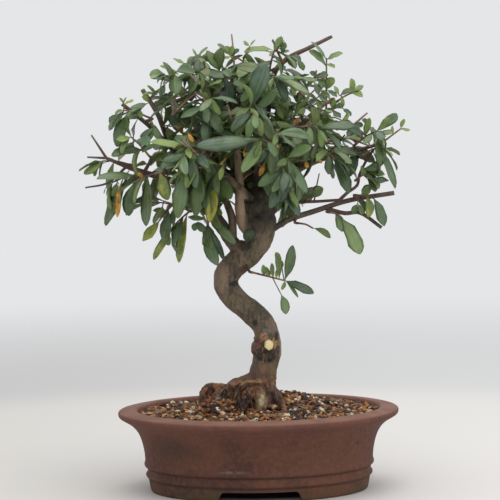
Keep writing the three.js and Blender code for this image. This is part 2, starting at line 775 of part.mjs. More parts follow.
// The twig that carries a spray, from the nearest bud to just short of the spray's stem.
function twig(spray) {
  const from = (bud) => bud.point.distanceTo(spray.start);
  const bud = buds.reduce((a, b) => (from(b) < from(a) ? b : a));
  const along = heading(spray.stems[0], 0);
  const end = spray.start.clone().addScaledVector(along, -CLEARANCE);
  const knee = end.clone().addScaledVector(along, -TWIG_END);
  return rod([bud.point, knee, end], [Math.min(1.5, bud.radius), 1.2, 1.1], 3);
}

const outline = placedSprays();
const sprays = [...outline, ...crownSprays(outline)];
sprays.forEach((spray, i) => {
  spray.name = `leafy_stem_${String(i + 1).padStart(2, "0")}`;
  spray.stems = stemsOf(spray);
  spray.bodies = [];
  wood.push(twig(spray));
});
wood.forEach((body) => remember(body, "wood"));

// All the stems come first, so that leaves give way to wood.
for (const spray of sprays) {
  for (const part of spray.stems) {
    const wider = part.radii.map((radius) => radius + CLEARANCE);
    part.kept = clear(rod(part.rings, wider, part.sides), spray.name);
    if (!part.kept) continue;
    const body = rod(part.rings, part.radii, part.sides);
    spray.bodies.push(body);
    remember(body, spray.name);
  }
}

// A leaf turned, if it has to, until it is clear. One that nothing helps is left out.
function addLeaf(spray, leaf) {
  for (let attempt = 0; attempt < LEAF_TRIES; attempt++) {
    const candidate = turned(leaf, attempt);
    if (!clear(blade(candidate, LEAF_GAP), spray.name)) continue;
    const body = blade(candidate);
    spray.bodies.push(body);
    remember(body, spray.name, true);
    return;
  }
}

for (const spray of sprays) {
  const [main] = spray.stems;
  for (const values of spray.placed) addLeaf(spray, placedLeaf(main, values));
  for (const part of spray.stems) {
    const leaves = grownLeaves(spray, part, part === main);
    for (const leaf of leaves) if (part.kept && leaf.length >= KEPT_LENGTH) addLeaf(spray, leaf);
  }
}

// The turn that makes the tree lean, about where it meets the soil
const leaning = new THREE.Matrix4()
  .makeTranslation(0, 0, SOIL_LEVEL)
  .multiply(new THREE.Matrix4().makeRotationY(TREE_LEAN))
  .multiply(new THREE.Matrix4().makeTranslation(0, 0, -SOIL_LEVEL));

// Soil: bark chips and grit, mounded towards the trunk and coarse on top

function mound(x, y) {
  const [halfLength] = POT_INSIDE[0];
  const fromMiddle = Math.hypot(x / halfLength, y / (halfLength - POT_INSET));
  const fromHeap = Math.hypot(x - SOIL_HEAP.x, y - SOIL_HEAP.y) / SOIL_HEAP_RADIUS;
  return SOIL_LEVEL + SOIL_SWELL * Math.max(0, 1 - fromMiddle) + SOIL_HEAP.z * Math.exp(-(fromHeap ** 2));
}

function relief(i, j) {
  const s = Math.sin(i * 127.1 + j * 311.7) * 43758.5453;
  return SOIL_RELIEF * (s - Math.floor(s) - 0.5);
}

function soil() {
  const columns = Math.ceil((2 * POT_HALF_LENGTH) / SOIL_CELL);
  const rows = Math.ceil((2 * POT_HALF_DEPTH) / SOIL_CELL);
  const block = new THREE.BoxGeometry(columns, rows, 2, columns, rows, 1);
  reshape(block, (p) => {
    const { x, y, z } = p;
    p.set(x * SOIL_CELL, y * SOIL_CELL, FLOOR_TOP - 1);
    if (z < 0) return;
    p.z = mound(p.x, p.y) + relief(x, y);
    if (Math.abs(x) < columns / 2) p.x += relief(x + 40, y);
    if (Math.abs(y) < rows / 2) p.y += relief(x, y + 40);
  });
  const [rim, ...wall] = POT_INSIDE.map(([radius, height]) => [radius - CLEARANCE, height]);
  wall[wall.length - 1][1] += CLEARANCE;
  const cavity = oval([...wall.reverse(), rim, [rim[0], rim[1] + 20]]);
  const side = MESH_SIDE + 2 * CLEARANCE;
  const pockets = [-DRAIN_X, DRAIN_X].map((x) => {
    const pocket = new THREE.BoxGeometry(side, side, 2 * (MESH_THICK + 2 * CLEARANCE));
    return solid(pocket.translate(x, 0, FLOOR_TOP));
  });
  const rootHoles = [TRUNK, ...ROOTS].map((root) => geometryOf(limb(root, CLEARANCE)));
  const holes = rootHoles.map((hole) => solid(hole.applyMatrix4(leaning)));
  return solid(block).intersect(cavity).subtract(union([...holes, ...pockets]));
}

// The assembly

const bonsai = new THREE.Group();
bonsai.position.copy(POT_PLACE);

const tree = new THREE.Group();
tree.applyMatrix4(leaning);
bonsai.add(tree);

function piece(group, name, body, color, roughness) {
  const material = new THREE.MeshStandardMaterial({ color, roughness, metalness: 0 });
  const mesh = new THREE.Mesh(geometryOf(body), material);
  mesh.name = name;
  group.add(mesh);
  return mesh;
}

piece(bonsai, "pot", pot(), 0x6b4a3e, 0.85);
for (const [side, x] of [["left", -DRAIN_X], ["right", DRAIN_X]]) {
  const mesh = piece(bonsai, `drainage_mesh_${side}`, drainageMesh(), 0x1c1c1c, 0.6);
  mesh.position.set(x, 0, FLOOR_TOP + CLEARANCE + MESH_THICK / 2);
}
piece(bonsai, "soil", soil(), 0x6e4a32, 1);
piece(tree, "trunk_and_branches", union(wood), 0x75644f, 0.9);
for (const spray of sprays) piece(tree, spray.name, union(spray.bodies), 0x3f6b35, 0.5);

const part = new THREE.Group();
part.add(bonsai);
export default part;
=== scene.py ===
import math

import bpy
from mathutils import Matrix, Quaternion, Vector
from mathutils.bvhtree import BVHTree
from mathutils.kdtree import KDTree


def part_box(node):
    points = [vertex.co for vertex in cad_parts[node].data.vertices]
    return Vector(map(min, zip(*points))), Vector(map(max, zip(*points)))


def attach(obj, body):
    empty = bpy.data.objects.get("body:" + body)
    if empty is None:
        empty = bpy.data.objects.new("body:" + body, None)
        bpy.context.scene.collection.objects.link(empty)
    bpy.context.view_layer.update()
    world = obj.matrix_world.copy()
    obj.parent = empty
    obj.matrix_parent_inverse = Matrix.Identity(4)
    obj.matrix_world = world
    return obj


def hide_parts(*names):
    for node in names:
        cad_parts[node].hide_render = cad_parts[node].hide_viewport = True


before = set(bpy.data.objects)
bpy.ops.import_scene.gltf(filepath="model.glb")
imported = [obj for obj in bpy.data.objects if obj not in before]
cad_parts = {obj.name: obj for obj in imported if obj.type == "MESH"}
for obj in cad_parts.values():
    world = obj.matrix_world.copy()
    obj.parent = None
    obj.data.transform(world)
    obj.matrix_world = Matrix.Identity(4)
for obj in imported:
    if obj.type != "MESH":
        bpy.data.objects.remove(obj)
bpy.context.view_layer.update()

# The pot: unglazed stoneware, thrown, pressed oval and fired brown. Each ring of its profile keeps its
# distance from the rim all the way round, so all are shorter across than along by one inset. The foot ring
# is cut away in the middle of the front and of the back, and water leaves by two holes in the floor.

MM = 0.001
pot_low, pot_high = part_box("pot")
PLACE = Vector(((pot_low.x + pot_high.x) / 2, (pot_low.y + pot_high.y) / 2, 0))
POT_INSET = (pot_high.x - pot_low.x - pot_high.y + pot_low.y) / 2 / MM
POT_SIDES = 72
FOOT_TOP = 7
FLOOR_TOP = 14
FOOT_GAP_TOP = 52
FOOT_GAP_BOTTOM = 60
DRAIN_RADIUS = 8
DRAIN_X = 34
POT_PROFILE = [
    # half length and height: recess, foot, lower bead, groove, upper bead, wall, rim, inside, floor
    (40, 7), (63.2, 7), (63.8, 6.4), (63.8, 0.6), (64.4, 0), (76.2, 0), (76.9, 0.5), (77.4, 3), (78, 6.4),
    (78.3, 8.4), (78.5, 9.5), (79.3, 10), (80.1, 10.7), (80.3, 11.8), (79.9, 12.8), (79.1, 13.4),
    (78.9, 14.5), (79, 16), (79.2, 16.8), (80.2, 17.2), (81.1, 18), (81.4, 19.2), (81.1, 20.3),
    (80.6, 21.2), (80.6, 23.5), (81, 28), (82, 33), (83.4, 38), (85.3, 42.2), (88.2, 46), (91.6, 48.8),
    (95.2, 50.9), (97.6, 52.2), (98.7, 53.2), (99, 54.3), (99.1, 55.5), (98.7, 56.4), (97.8, 56.9),
    (92, 57.5), (87.2, 58), (86.2, 57.6), (85.2, 55.8), (82, 50.5), (79.3, 46), (75, 34), (72, 18),
    (70.6, 15), (67, 14), (40, 14),
]


def place(x, y, z):
    """A point, from millimetres about the middle of the pot's foot."""
    return PLACE + Vector((x, y, z)) * MM


def deselect():
    bpy.ops.object.select_all(action="DESELECT")


def select(piece):
    deselect()
    piece.select_set(True)
    bpy.context.view_layer.objects.active = piece


def added(name):
    """Names the object that was just added."""
    piece = bpy.context.object
    piece.name = piece.data.name = name
    return piece


def edit(piece):
    select(piece)
    bpy.ops.object.mode_set(mode="EDIT")


def done():
    bpy.ops.object.mode_set(mode="OBJECT")


def settle(piece):
    """Puts a piece's place, turn and scale into its mesh."""
    select(piece)
    bpy.ops.object.transform_apply(location=True, rotation=True, scale=True)


def modify(piece, kind, **settings):
    """Adds a modifier to a piece and applies it."""
    bpy.context.view_layer.objects.active = piece
    modifier = piece.modifiers.new(kind, kind)
    for key, value in settings.items():
        setattr(modifier, key, value)
    bpy.ops.object.modifier_apply(modifier=modifier.name)


def smooth(piece, degrees):
    select(piece)
    bpy.ops.object.shade_smooth_by_angle(angle=math.radians(degrees))


def cut(piece, cutter):
    settle(cutter)
    modify(piece, "BOOLEAN", operation="DIFFERENCE", solver="EXACT", object=cutter)
    bpy.data.objects.remove(cutter)


def stretch(x, y, centre):
    bpy.ops.transform.resize(value=(x, y, 1), center_override=centre)


deselect()
half, height = POT_PROFILE[0]
foot = place(0, 0, height)
bpy.ops.mesh.primitive_circle_add(vertices=POT_SIDES, radius=1, fill_type="NGON", location=foot)
pot = added("stoneware_pot")
settle(pot)
edit(pot)
stretch(half * MM, (half - POT_INSET) * MM, foot)
for next_half, next_height in POT_PROFILE[1:]:
    rise = (next_height - height) * MM
    bpy.ops.mesh.extrude_region_move(TRANSFORM_OT_translate={"value": (0, 0, rise)})
    deeper = (next_half - POT_INSET) / (half - POT_INSET)
    stretch(next_half / half, deeper, place(0, 0, next_height))
    half, height = next_half, next_height
bpy.ops.mesh.select_all(action="SELECT")
bpy.ops.mesh.normals_make_consistent(inside=False)
done()
modify(pot, "SUBSURF", levels=1, render_levels=1)

bpy.ops.mesh.primitive_cube_add(size=2, location=place(0, 0, FOOT_TOP / 2 - 0.5))
gap = added("foot_gap")
gap.scale = (FOOT_GAP_TOP / 2 * MM, 0.1, (FOOT_TOP + 1) / 2 * MM)
settle(gap)
edit(gap)
bpy.ops.mesh.select_all(action="DESELECT")
done()
for vertex in gap.data.vertices:
    vertex.select = vertex.co.z < 0
edit(gap)
stretch(FOOT_GAP_BOTTOM / FOOT_GAP_TOP, 1, place(0, 0, 0))
done()
modify(gap, "BEVEL", width=1.5 * MM, segments=4, limit_method="ANGLE")
cut(pot, gap)
for x in (-DRAIN_X, DRAIN_X):
    hole = {"radius": DRAIN_RADIUS * MM, "depth": 0.02, "location": place(x, 0, FLOOR_TOP - 4)}
    bpy.ops.mesh.primitive_cylinder_add(vertices=40, **hole)
    cut(pot, added("drain_hole"))
smooth(pot, 40)


class Wire:
    """A socket of a finish. Arithmetic on it adds Math nodes."""

    def __init__(self, finish, socket):
        self.finish = finish
        self.socket = socket

    def math(self, operation, *others):
        return self.finish.node("Math", {"operation": operation}, self, *others)

    def __add__(self, other):
        return self.math("ADD", other)

    def __sub__(self, other):
        return self.math("SUBTRACT", other)

    def __rsub__(self, other):
        return self.finish.node("Math", {"operation": "SUBTRACT"}, other, self)

    def __mul__(self, other):
        return self.math("MULTIPLY", other)

    def __truediv__(self, other):
        return self.math("DIVIDE", other)

    def __abs__(self):
        return self.math("ABSOLUTE")

    __radd__ = __add__

    def above(self, low, high):
        """0 below low, 1 above high, and smooth between them."""
        settings = {"interpolation_type": "SMOOTHSTEP"}
        return self.finish.node("MapRange", settings, self, low, high, 0, 1)

    def below(self, low, high):
        return 1 - self.above(low, high)

    def bigger(self, other):
        return self.math("MAXIMUM", other)


class Finish:
    """A material. Every node in it comes from one method, and its base colour is painted in layers."""

    def __init__(self, name, put=place):
        self.put = put
        self.material = bpy.data.materials.new(name)
        self.material.use_nodes = True
        self.tree = self.material.node_tree
        self.shader = self.tree.nodes["Principled BSDF"]

    def connect(self, socket, value):
        if isinstance(value, Wire):
            self.tree.links.new(value.socket, socket)
        else:
            socket.default_value = value

    def node(self, kind, settings, *values, out=0, **named):
        node = self.tree.nodes.new("ShaderNode" + kind)
        for key, value in settings.items():
            setattr(node, key, value)
        sockets = [socket for socket in node.inputs if socket.enabled]
        for socket, value in zip(sockets, values):
            self.connect(socket, value)
        for socket in sockets:
            if socket.name in named:
                self.connect(socket, named[socket.name])
        outputs = [socket for socket in node.outputs if socket.enabled]
        return Wire(self, outputs[out])

    def set(self, **named):
        for name, value in named.items():
            self.connect(self.shader.inputs[name.replace("_", " ")], value)

    def where(self):
        """The point, in the frame of the whole object."""
        return self.node("TexCoord", {}, out=3)

    def axes(self, vector):
        return [self.node("SeparateXYZ", {}, vector, out=i) for i in range(3)]

    def height(self):
        """The height above the ground, in millimetres."""
        return self.axes(self.where())[2] / MM

    def length(self, vector):
        return self.node("VectorMath", {"operation": "LENGTH"}, vector)

    def mark(self, name):
        """A value that the mesh carries."""
        return self.node("Attribute", {"attribute_name": name}, out=2)

    def scaled(self, vector, x, y, z):
        return self.node("VectorMath", {"operation": "MULTIPLY"}, vector, (x, y, z))

    def noise(self, size, detail=3, vector=None):
        """Noise whose lumps are about that many millimetres wide."""
        scale = 1 / (size * MM)
        return self.node("TexNoise", {}, Vector=vector or self.where(), Scale=scale, Detail=detail)

    def near(self, centre, x, y, z):
        """1 at a point, falling to 0 on an ellipsoid round it, whose half sizes are in millimetres."""
        settings = {"operation": "SUBTRACT"}
        away = self.node("VectorMath", settings, self.where(), tuple(self.put(*centre)))
        away = self.scaled(away, 1 / (x * MM), 1 / (y * MM), 1 / (z * MM))
        return 1 - self.length(away)

    def mix(self, share, a, b):
        """The first colour at 0 and the second at 1. Each is a socket or a hex code."""
        a, b = (colour(tone) if isinstance(tone, str) else tone for tone in (a, b))
        return self.node("Mix", {"data_type": "RGBA"}, Factor=share, A=a, B=b)

    def paint(self, share, tone):
        """A further layer of the base colour, as thick as the share says."""
        self.base = self.mix(share, self.base, tone)

    def bump(self, height, depth):
        """Relief of that many millimetres."""
        self.set(Normal=self.node("Bump", {}, Strength=1, Distance=depth * MM, Height=height))

    def cover(self, *pieces):
        for piece in pieces:
            piece.data.materials.append(self.material)


def colour(code):
    """A colour as the shader takes it, from a hex code."""
    shares = [int(code[i:i + 2], 16) / 255 for i in (0, 2, 4)]
    return (*[s / 12.92 if s <= 0.04045 else ((s + 0.055) / 1.055) ** 2.4 for s in shares], 1)


clay = Finish("stoneware")
height_mm = clay.height()
clay.base = clay.mix(clay.noise(38).above(0.36, 0.64), "472920", "5f3a2a")
# painted light from above: the upper wall, where it turns up towards the rim, is painted lighter
clay.paint(height_mm.above(38, 50) * 0.6, "683f34")
clay.paint(clay.noise(3.2, 4).above(0.42, 0.7) * 0.3, "7a4f3f")
clay.paint(clay.noise(1.1, 2).above(0.6, 0.72) * 0.4, "33211b")
# the rim's top is painted paler: partly wear, partly painted light from above
rim_wear_and_top_light = height_mm.above(55.9, 57) * (0.5 + clay.noise(2.5) * 0.5)
worn_and_lit = clay.mix(clay.noise(16).above(0.42, 0.6), "7a5446", "84604f")
clay.paint(rim_wear_and_top_light, worn_and_lit)
smoke = clay.near((-58, -40, 36), 34, 24, 16).above(0, 0.9)
clay.paint(smoke * 0.55, "33251f")
# painted shade: the grooves under the two beads are painted dark
painted_groove_shade = abs(height_mm - 16.8).below(0.3, 1.2).bigger(abs(height_mm - 9.4).below(0.3, 1.3))
clay.paint(painted_groove_shade * 0.5, "2c1b15")
algae = height_mm.below(3, 13) * clay.noise(9, 4).above(0.36, 0.66)
algae *= 0.45 + clay.near((-38, -40, 4), 36, 30, 12).above(0, 0.5) * 0.4
clay.paint(algae, "474828")
scratch = clay.near((-19, -57, 21.4), 15, 12, 1.8).above(0, 0.9)
scratch *= clay.noise(4).above(0.34, 0.66)
clay.paint(scratch * 0.45, "857a6b")
# the pits are painted dark, as painted shade inside them; the bump below also presses them in
pits = clay.near((67.6, -30, 37.2), 1.2, 24, 1.1)
for pit_x, pit_z in [(72.5, 45.7), (63.7, 44.3), (69.5, 46.8)]:
    pits = pits.bigger(clay.near((pit_x, -30, pit_z), 1, 24, 0.9))
pits = pits.above(0, 0.5)
clay.paint(pits * 0.8, "2c1c17")
clay.set(Base_Color=clay.base, Roughness=0.74 + clay.noise(4, 2) * 0.16)
clay.bump(clay.noise(1.3, 4) + clay.noise(14, 2) * 1.5 - pits * 2, 0.14)
clay.cover(pot)
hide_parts("pot")
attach(pot, "root")

# A square of black plastic mesh lies over each hole in the pot's floor and keeps the soil in. Soil hides
# both, and a little of them shows through the holes from below.

netting = Finish("plastic_mesh")
dust = netting.noise(2.2).above(0.5, 0.7)
netting.set(Base_Color=netting.mix(dust * 0.5, "161616", "4a3a2e"))
netting.set(Roughness=0.45 + dust * 0.35)
for side in ("left", "right"):
    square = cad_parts["drainage_mesh_" + side]
    square.data.materials.clear()
    netting.cover(square)

# The wood: trunk, branches, twigs and surface roots, grown as one. Each limb is swept along its own
# curve. The thick ones are then fused, smoothed and roughened, so that one flows into the next, and the
# thin ones are left as they are swept.

TREE_LEAN = math.radians(1)
SOIL_LEVEL = 54.2
WOOD_VOXEL = 0.62
FUSED_RADIUS = 2.5
TRUNK_TOP = 214
TRUNK_X = -3
TRUNK_REACH = 40
FLARE_TOP = 84
FLARE_FADE = 8
WOUND = (Vector((4.6, -12, 101)), 11)
HEAD = (Vector((2, -2, 200)), 20)
BRANCH_SHARE = 0.18
HEAD_SHARE = 0.8
ROUGHENING = [
    # where, size of the lumps, detail and height
    ("thick", 9, 2, 1.7), ("rough", 2.6, 1, 1.5),
]
TRUNK = (
    [(1.8, -6, 32), (1.8, -6, 60), (2, -6, 73), (4.2, -5, 87), (6.3, -4, 98), (6.7, -3, 107.5),
     (2.5, -1, 117.5), (-6.7, 1, 126.5), (-15.9, 3, 133.6), (-22.2, 4, 142), (-22.6, 4, 150),
     (-17.3, 3, 157.6), (-8.8, 1, 164.6), (-0.4, -1, 173), (3.9, -2, 182.2), (3.9, -2, 193),
     (1.8, -1, 203.4), (-0.5, 0, 213)],
    [9, 11.4, 10, 9.3, 10, 8.6, 8.6, 8.5, 8.5, 8.7, 9.1, 9.3, 9.2, 8.6, 7.9, 7.5, 7, 4.6],
)
BRANCHES = [
    # the lowest, to the left, and its fork, up to a pruned end
    ([(-11, 2, 166), (-20, 1, 177), (-28.6, -2, 190.7), (-37, -6, 204), (-48, -11, 214), (-66, -16, 220),
      (-88, -19, 227), (-106, -20, 234.5)], [5.4, 4.8, 4.3, 3.9, 3.1, 2.4, 1.8, 1.2]),
    ([(-36, -5, 202), (-48, 0, 222), (-62, 0, 243), (-70, -8, 264), (-80.5, -13, 281.4)],
     [3.2, 2.5, 2.1, 1.8, 1.7]),
    ([(-56, 0, 235), (-75.5, -9, 255.6), (-94.5, -12, 271.3)], [1.9, 1.6, 1.4]),
    # the upright branch in front of the head
    ([(-3, -6, 180), (-10.6, -9, 186.5), (-12.8, -10, 198), (-13.4, -10, 222), (-16, -8, 246),
      (-18, -4, 268), (-19, -1, 288)], [4.4, 4, 3.6, 3.1, 2.5, 1.9, 1.3]),
    # the long low one to the right, with a fork that hangs, and the one beside it
    ([(6, -3, 181), (20, -6, 190), (40, -8, 197), (62, -9, 204), (94.5, -9, 209.5)],
     [2.4, 2, 1.9, 1.7, 1.6]),
    ([(46, -9, 199), (60, -12, 195.5), (70, -13, 196), (85.5, -15, 185.6)], [1.5, 1.5, 1.4, 1.2]),
    ([(6, 2, 202.7), (36, 6, 202.5), (58, 12, 203.5)], [1.3, 1.1, 1]),
    # a thin riser between the low branch and the middle one
    ([(55, -9, 203), (62, -12, 210), (68.5, -13, 215), (70, -13, 222), (74.7, -13, 232), (80, -12, 240)],
     [1.3, 1.1, 1, 0.9]),
    # two more to the right
    ([(3, -1, 203), (22, -6, 222), (43, -10, 233), (64, -12, 238), (82, -12, 243)],
     [3.4, 2.8, 2.2, 1.7, 1.2]),
    ([(2, -2, 203), (12, -4, 228), (22, -5, 246), (36, -4, 263), (52, -3, 275)], [3.4, 2.8, 2.2, 1.7, 1.2]),
    # the leader, which ends in a long pruned stub
    ([(-0.5, 0, 208), (0, 3, 232), (5, 4, 258), (9, 2, 282), (12, 1, 294.5), (20.4, -1, 302.8),
      (36, -2.5, 310.6), (51.3, -4, 318.2)], [3.6, 3, 2.5, 2.1, 2, 1.9, 1.6, 1.25]),
    # behind
    ([(-2, 2, 203), (-22, 24, 222), (-42, 42, 238), (-52, 46, 248)], [3.2, 2.5, 1.8, 1.2]),
    ([(3, 3, 203), (22, 24, 220), (38, 40, 236), (46, 46, 246)], [3.2, 2.5, 1.8, 1.2]),
    ([(-0.5, 3, 206), (-3, 26, 230), (-7, 42, 254), (-9, 46, 268)], [3, 2.3, 1.7, 1.2]),
    ([(3, 2, 193), (10, 26, 203), (18, 44, 212)], [2.8, 2.1, 1.4]),
    # in front
    ([(-3, -3, 203), (-20, -22, 220), (-34, -34, 234), (-42, -40, 244)], [3, 2.3, 1.7, 1.1]),
    ([(3, -4, 203), (14, -24, 222), (24, -38, 238), (28, -44, 250)], [3, 2.3, 1.7, 1.1]),
]
# a second shoot beside the lowest branch
FORK_SHOOT = ([(-18, -3, 178), (-18.6, -4, 192), (-22.4, -5, 203), (-25.4, -6, 214)], [3, 2.8, 2.4, 1.8])
STUBS = [
    [(-105, -20, 234), (-115.3, -21, 250)],
    [(-104, -20, 234), (-118.2, -22, 234.8)],
    [(-92, -19, 227.5), (-104, -19, 217), (-119.9, -18, 213.5)],
    [(-19, -1, 286), (-17, -2, 300), (-18.7, -2, 319.7)],
    [(17, -1, 300), (13, -2, 308), (9.7, -2, 316)],
    [(44, -10, 233), (55, -12, 244), (60, -12, 250)],
]
ROOTS = [
    # the arched one
    ([(-12, -8, 74), (-22, -9, 73.2), (-29.5, -9.5, 74.2), (-36.2, -10, 73), (-39.6, -10.5, 68.5),
      (-40.6, -11, 58), (-40.6, -11, 46)], [3.6, 2.7, 2.2, 2.1, 2.1, 2, 1.9]),
    # round the foot of the trunk
    ([(0, -6, 78), (-10, -7.5, 75.4), (-18, -10, 73), (-22.5, -14, 65), (-25, -17, 48)],
     [7, 6, 5.2, 4.6, 3.4]),
    ([(2, -8, 78), (1.5, -14, 69), (2, -17, 58), (2.5, -18, 44)], [6.2, 5, 4.6, 4]),
    ([(-2, -8, 75), (-8, -15, 68), (-12, -20, 60), (-13, -22, 46)], [5, 4.4, 3.8, 2.8]),
    ([(4, -5, 78), (10, -8, 68), (15, -10, 60), (18, -11, 46)], [6, 5, 4, 3]),
    ([(4, -2, 77), (9, 10, 68), (15, 20, 61), (18, 27, 48)], [6, 4.6, 3.4, 2.6]),
    ([(-2, -2, 77), (-8, 10, 68), (-14, 19, 61), (-18, 26, 48)], [6, 4.6, 3.4, 2.6]),
    # the one under the arch, and the ridge that loops over the hollow at the left of the flare
    ([(-13, -9, 71), (-22, -11, 70.4), (-29, -12, 68.5), (-33, -13, 62), (-34, -14, 46)],
     [4, 3.4, 2.8, 2.2, 1.9]),
    ([(5, -15.5, 77), (-2, -17, 78), (-8, -17.6, 77.8), (-12.6, -17.8, 75), (-15.4, -18, 70),
      (-16, -18.6, 62)], [1.6, 1.7, 1.6, 1.5, 1.4, 1.3]),
    ([(8, -10, 74), (13, -13, 67), (17.5, -14, 60), (20, -15, 50)], [3, 2.8, 2.4, 2]),
    ([(-11, -12, 77), (-18, -13, 74), (-24, -14, 71), (-29, -15, 64), (-31, -15, 54)],
     [2.6, 2.6, 2.4, 2, 1.6]),
]
KNOBS = [
    # centre, radius and shape of each lump: the callus round the wound
    ((4.6, -10.2, 101), 6.6, (1, 0.72, 1.08)), ((-1.6, -8.5, 99), 4.2, (0.9, 0.8, 1)),
    ((8.6, -10, 95.6), 4.4, (1.15, 0.8, 0.8)), ((10.6, -9, 104.5), 3.6, (0.8, 0.8, 1.2)),
    ((1.4, -8.8, 107.6), 4, (1.2, 0.7, 0.8)), ((4.2, -10, 109), 3.4, (1.1, 0.8, 0.85)),
    ((12.4, -9.4, 104.6), 3, (0.8, 0.9, 1.5)), ((-2, -7.4, 101.6), 3.3, (1, 1, 1.3)),
    ((1.2, -11, 95.8), 2.8, (1, 0.9, 0.8)), ((6.2, -12.4, 94.6), 3, (1.1, 0.9, 0.8)),
    ((11, -10.4, 96.4), 2.6, (1, 0.9, 0.9)),
    # the pruned head
    ((-1.5, -6, 187), 6.4, (1, 0.9, 1.1)), ((8.6, -5, 190), 4.6, (0.9, 0.9, 1.2)),
    ((-3, -4, 199), 6.6, (1, 1, 1)), ((-6.4, -5, 192), 4.6, (1, 0.9, 1.2)), ((8, -4, 197), 4.4, (1, 1, 1)),
    ((9.4, -3, 205), 3.6, (1, 1, 1)), ((-7, -3, 206), 3.6, (1, 1, 1)), ((6.4, -3, 202), 5.4, (1, 1, 1)),
    ((2, 3, 206), 6.4, (1.1, 1, 0.9)), ((4, -6, 209), 4.6, (1, 0.9, 1)),
    # the foot of the lowest branch, two nubs on the trunk's left edge, and the mass under the arched root
    ((-12, -2, 171), 4.4, (1, 1, 1.2)), ((-23.6, 2, 139), 1.4, (1, 1, 1)),
    ((-12.5, -2.4, 122.6), 1.3, (1, 1, 1)), ((-33, -4, 66), 6.3, (1, 0.5, 1)),
    ((-25, -8, 64), 6.5, (1, 0.6, 1)),
]


def on_tree(x, y, z):
    """A point of the tree, which leans to the right about its foot."""
    foot = Vector((0, 0, SOIL_LEVEL))
    return place(*(Quaternion((0, 1, 0), TREE_LEAN) @ (Vector((x, y, z)) - foot) + foot))


def curve_point(points, t):
    """A point of the smooth curve through the points, which slows down where they lie close together."""
    step = min(t, 0.999999) * (len(points) - 1)
    i = int(step)
    s = step - i
    b, c = points[i], points[i + 1]
    a = points[i - 1] if i else 2 * b - c
    d = points[i + 2] if i + 2 < len(points) else 2 * c - b
    ab, bc, cd = ((q - p).length ** 0.5 for p, q in ((a, b), (b, c), (c, d)))
    leave = bc * ((b - a) / ab - (c - a) / (ab + bc) + (c - b) / bc)
    arrive = bc * ((c - b) / bc - (d - b) / (bc + cd) + (d - c) / cd)
    return (
        (2 * s ** 3 - 3 * s ** 2 + 1) * b + (s ** 3 - 2 * s ** 2 + s) * leave
        + (3 * s ** 2 - 2 * s ** 3) * c + (s ** 3 - s ** 2) * arrive
    )


def closeness(point, centre, distance):
    """1 at the centre, falling to 0 at that distance from it."""
    return max(0, 1 - (point - centre).length / distance)


def spread(values, t):
    """The value at t, from 0 to 1, of values spread evenly."""
    step = min(t, 0.9999) * (len(values) - 1)
    i = int(step)
    return values[i] + (values[i + 1] - values[i]) * (step - i)


def in_scene(piece):
    bpy.context.scene.collection.objects.link(piece)
    return piece


def sweep(name, limbs, resolution, spacing=2.0, put=on_tree):
    """Round limbs along smooth curves, in one mesh. A limb is its points and its radii."""
    data = bpy.data.curves.new(name, "CURVE")
    data.dimensions = "3D"
    data.bevel_depth = MM
    data.bevel_resolution = resolution
    data.use_fill_caps = True
    for points, radii in limbs:
        points = [Vector(point) for point in points]
        length = sum((q - p).length for p, q in zip(points, points[1:]))
        steps = max(4, round(length / spacing))
        spline = data.splines.new("POLY")
        spline.points.add(steps)
        for i, point in enumerate(spline.points):
            t = i / steps
            point.co = (*put(*curve_point(points, t)), 1)
            point.radius = spread(radii, t)
    select(in_scene(bpy.data.objects.new(name, data)))
    bpy.ops.object.convert(target="MESH")
    return bpy.context.object


def join(name, pieces):
    """Joins objects into the first one."""
    deselect()
    for piece in pieces:
        piece.select_set(True)
    bpy.context.view_layer.objects.active = pieces[0]
    bpy.ops.object.join()
    return added(name)


# The growth of the leafy stems is worked out here, because each of them needs its twig. A stem is straight
# from its root to its middle and on to its tip, and side shoots leave it on alternate sides. Those that
# make the tree's outline are placed one by one, and the others are spread evenly over the crown.

CROWN = Vector((-8, 0, 236))
REACH_LEFT = 78
REACH_RIGHT = 71
REACH_DEPTH = 62
REACH_UP = 62
REACH_DOWN = 38
REACH_SHARES = (0.94, 0.12)
CROWN_STEMS = 38
STEM_SPACING = 25
STEM_DROP = 8
CROWN_OPENINGS = [Vector((-7, -50, 207)), Vector((52, 31, 225))]
OPENING_RADIUS = 18
GOLDEN_ANGLE = 2.39996
BUDS = 30
TWIG_END = 2.5
TWIG_GAP = 0.35
TWIG_RADII = [1.4, 1, 0.85]
STEM_TOP = 0.97
STEM_LENGTHS = (28, 8)
STEM_RADII = [1, 0.9, 0.75]
SHOOT_PLACES = (0.3, 0.3, 0.1)
SHOOT_LENGTHS = (13, 6)
SHOOT_RADII = [0.75, 0.7, 0.6]
SHOOT_FORWARD = 0.6
SHOOT_OUT = 0.8
SHOOT_LIFT = 1.5
SHOOT_TURN = 2.6
PLACED_DROOP = 0.7
CROWN_DROOP = (0.25, 0.5)
CROWN_BOW = 2.5
HAIR_ROOTS = 60
HAIR_LIFT = 0.25
HAIR_BOX = [(-26, 22), (-26, 8), (66, 11)]
HAIR_RADII = [0.55, 0.5, 0.4]
UP = Vector((0, 0, 1))
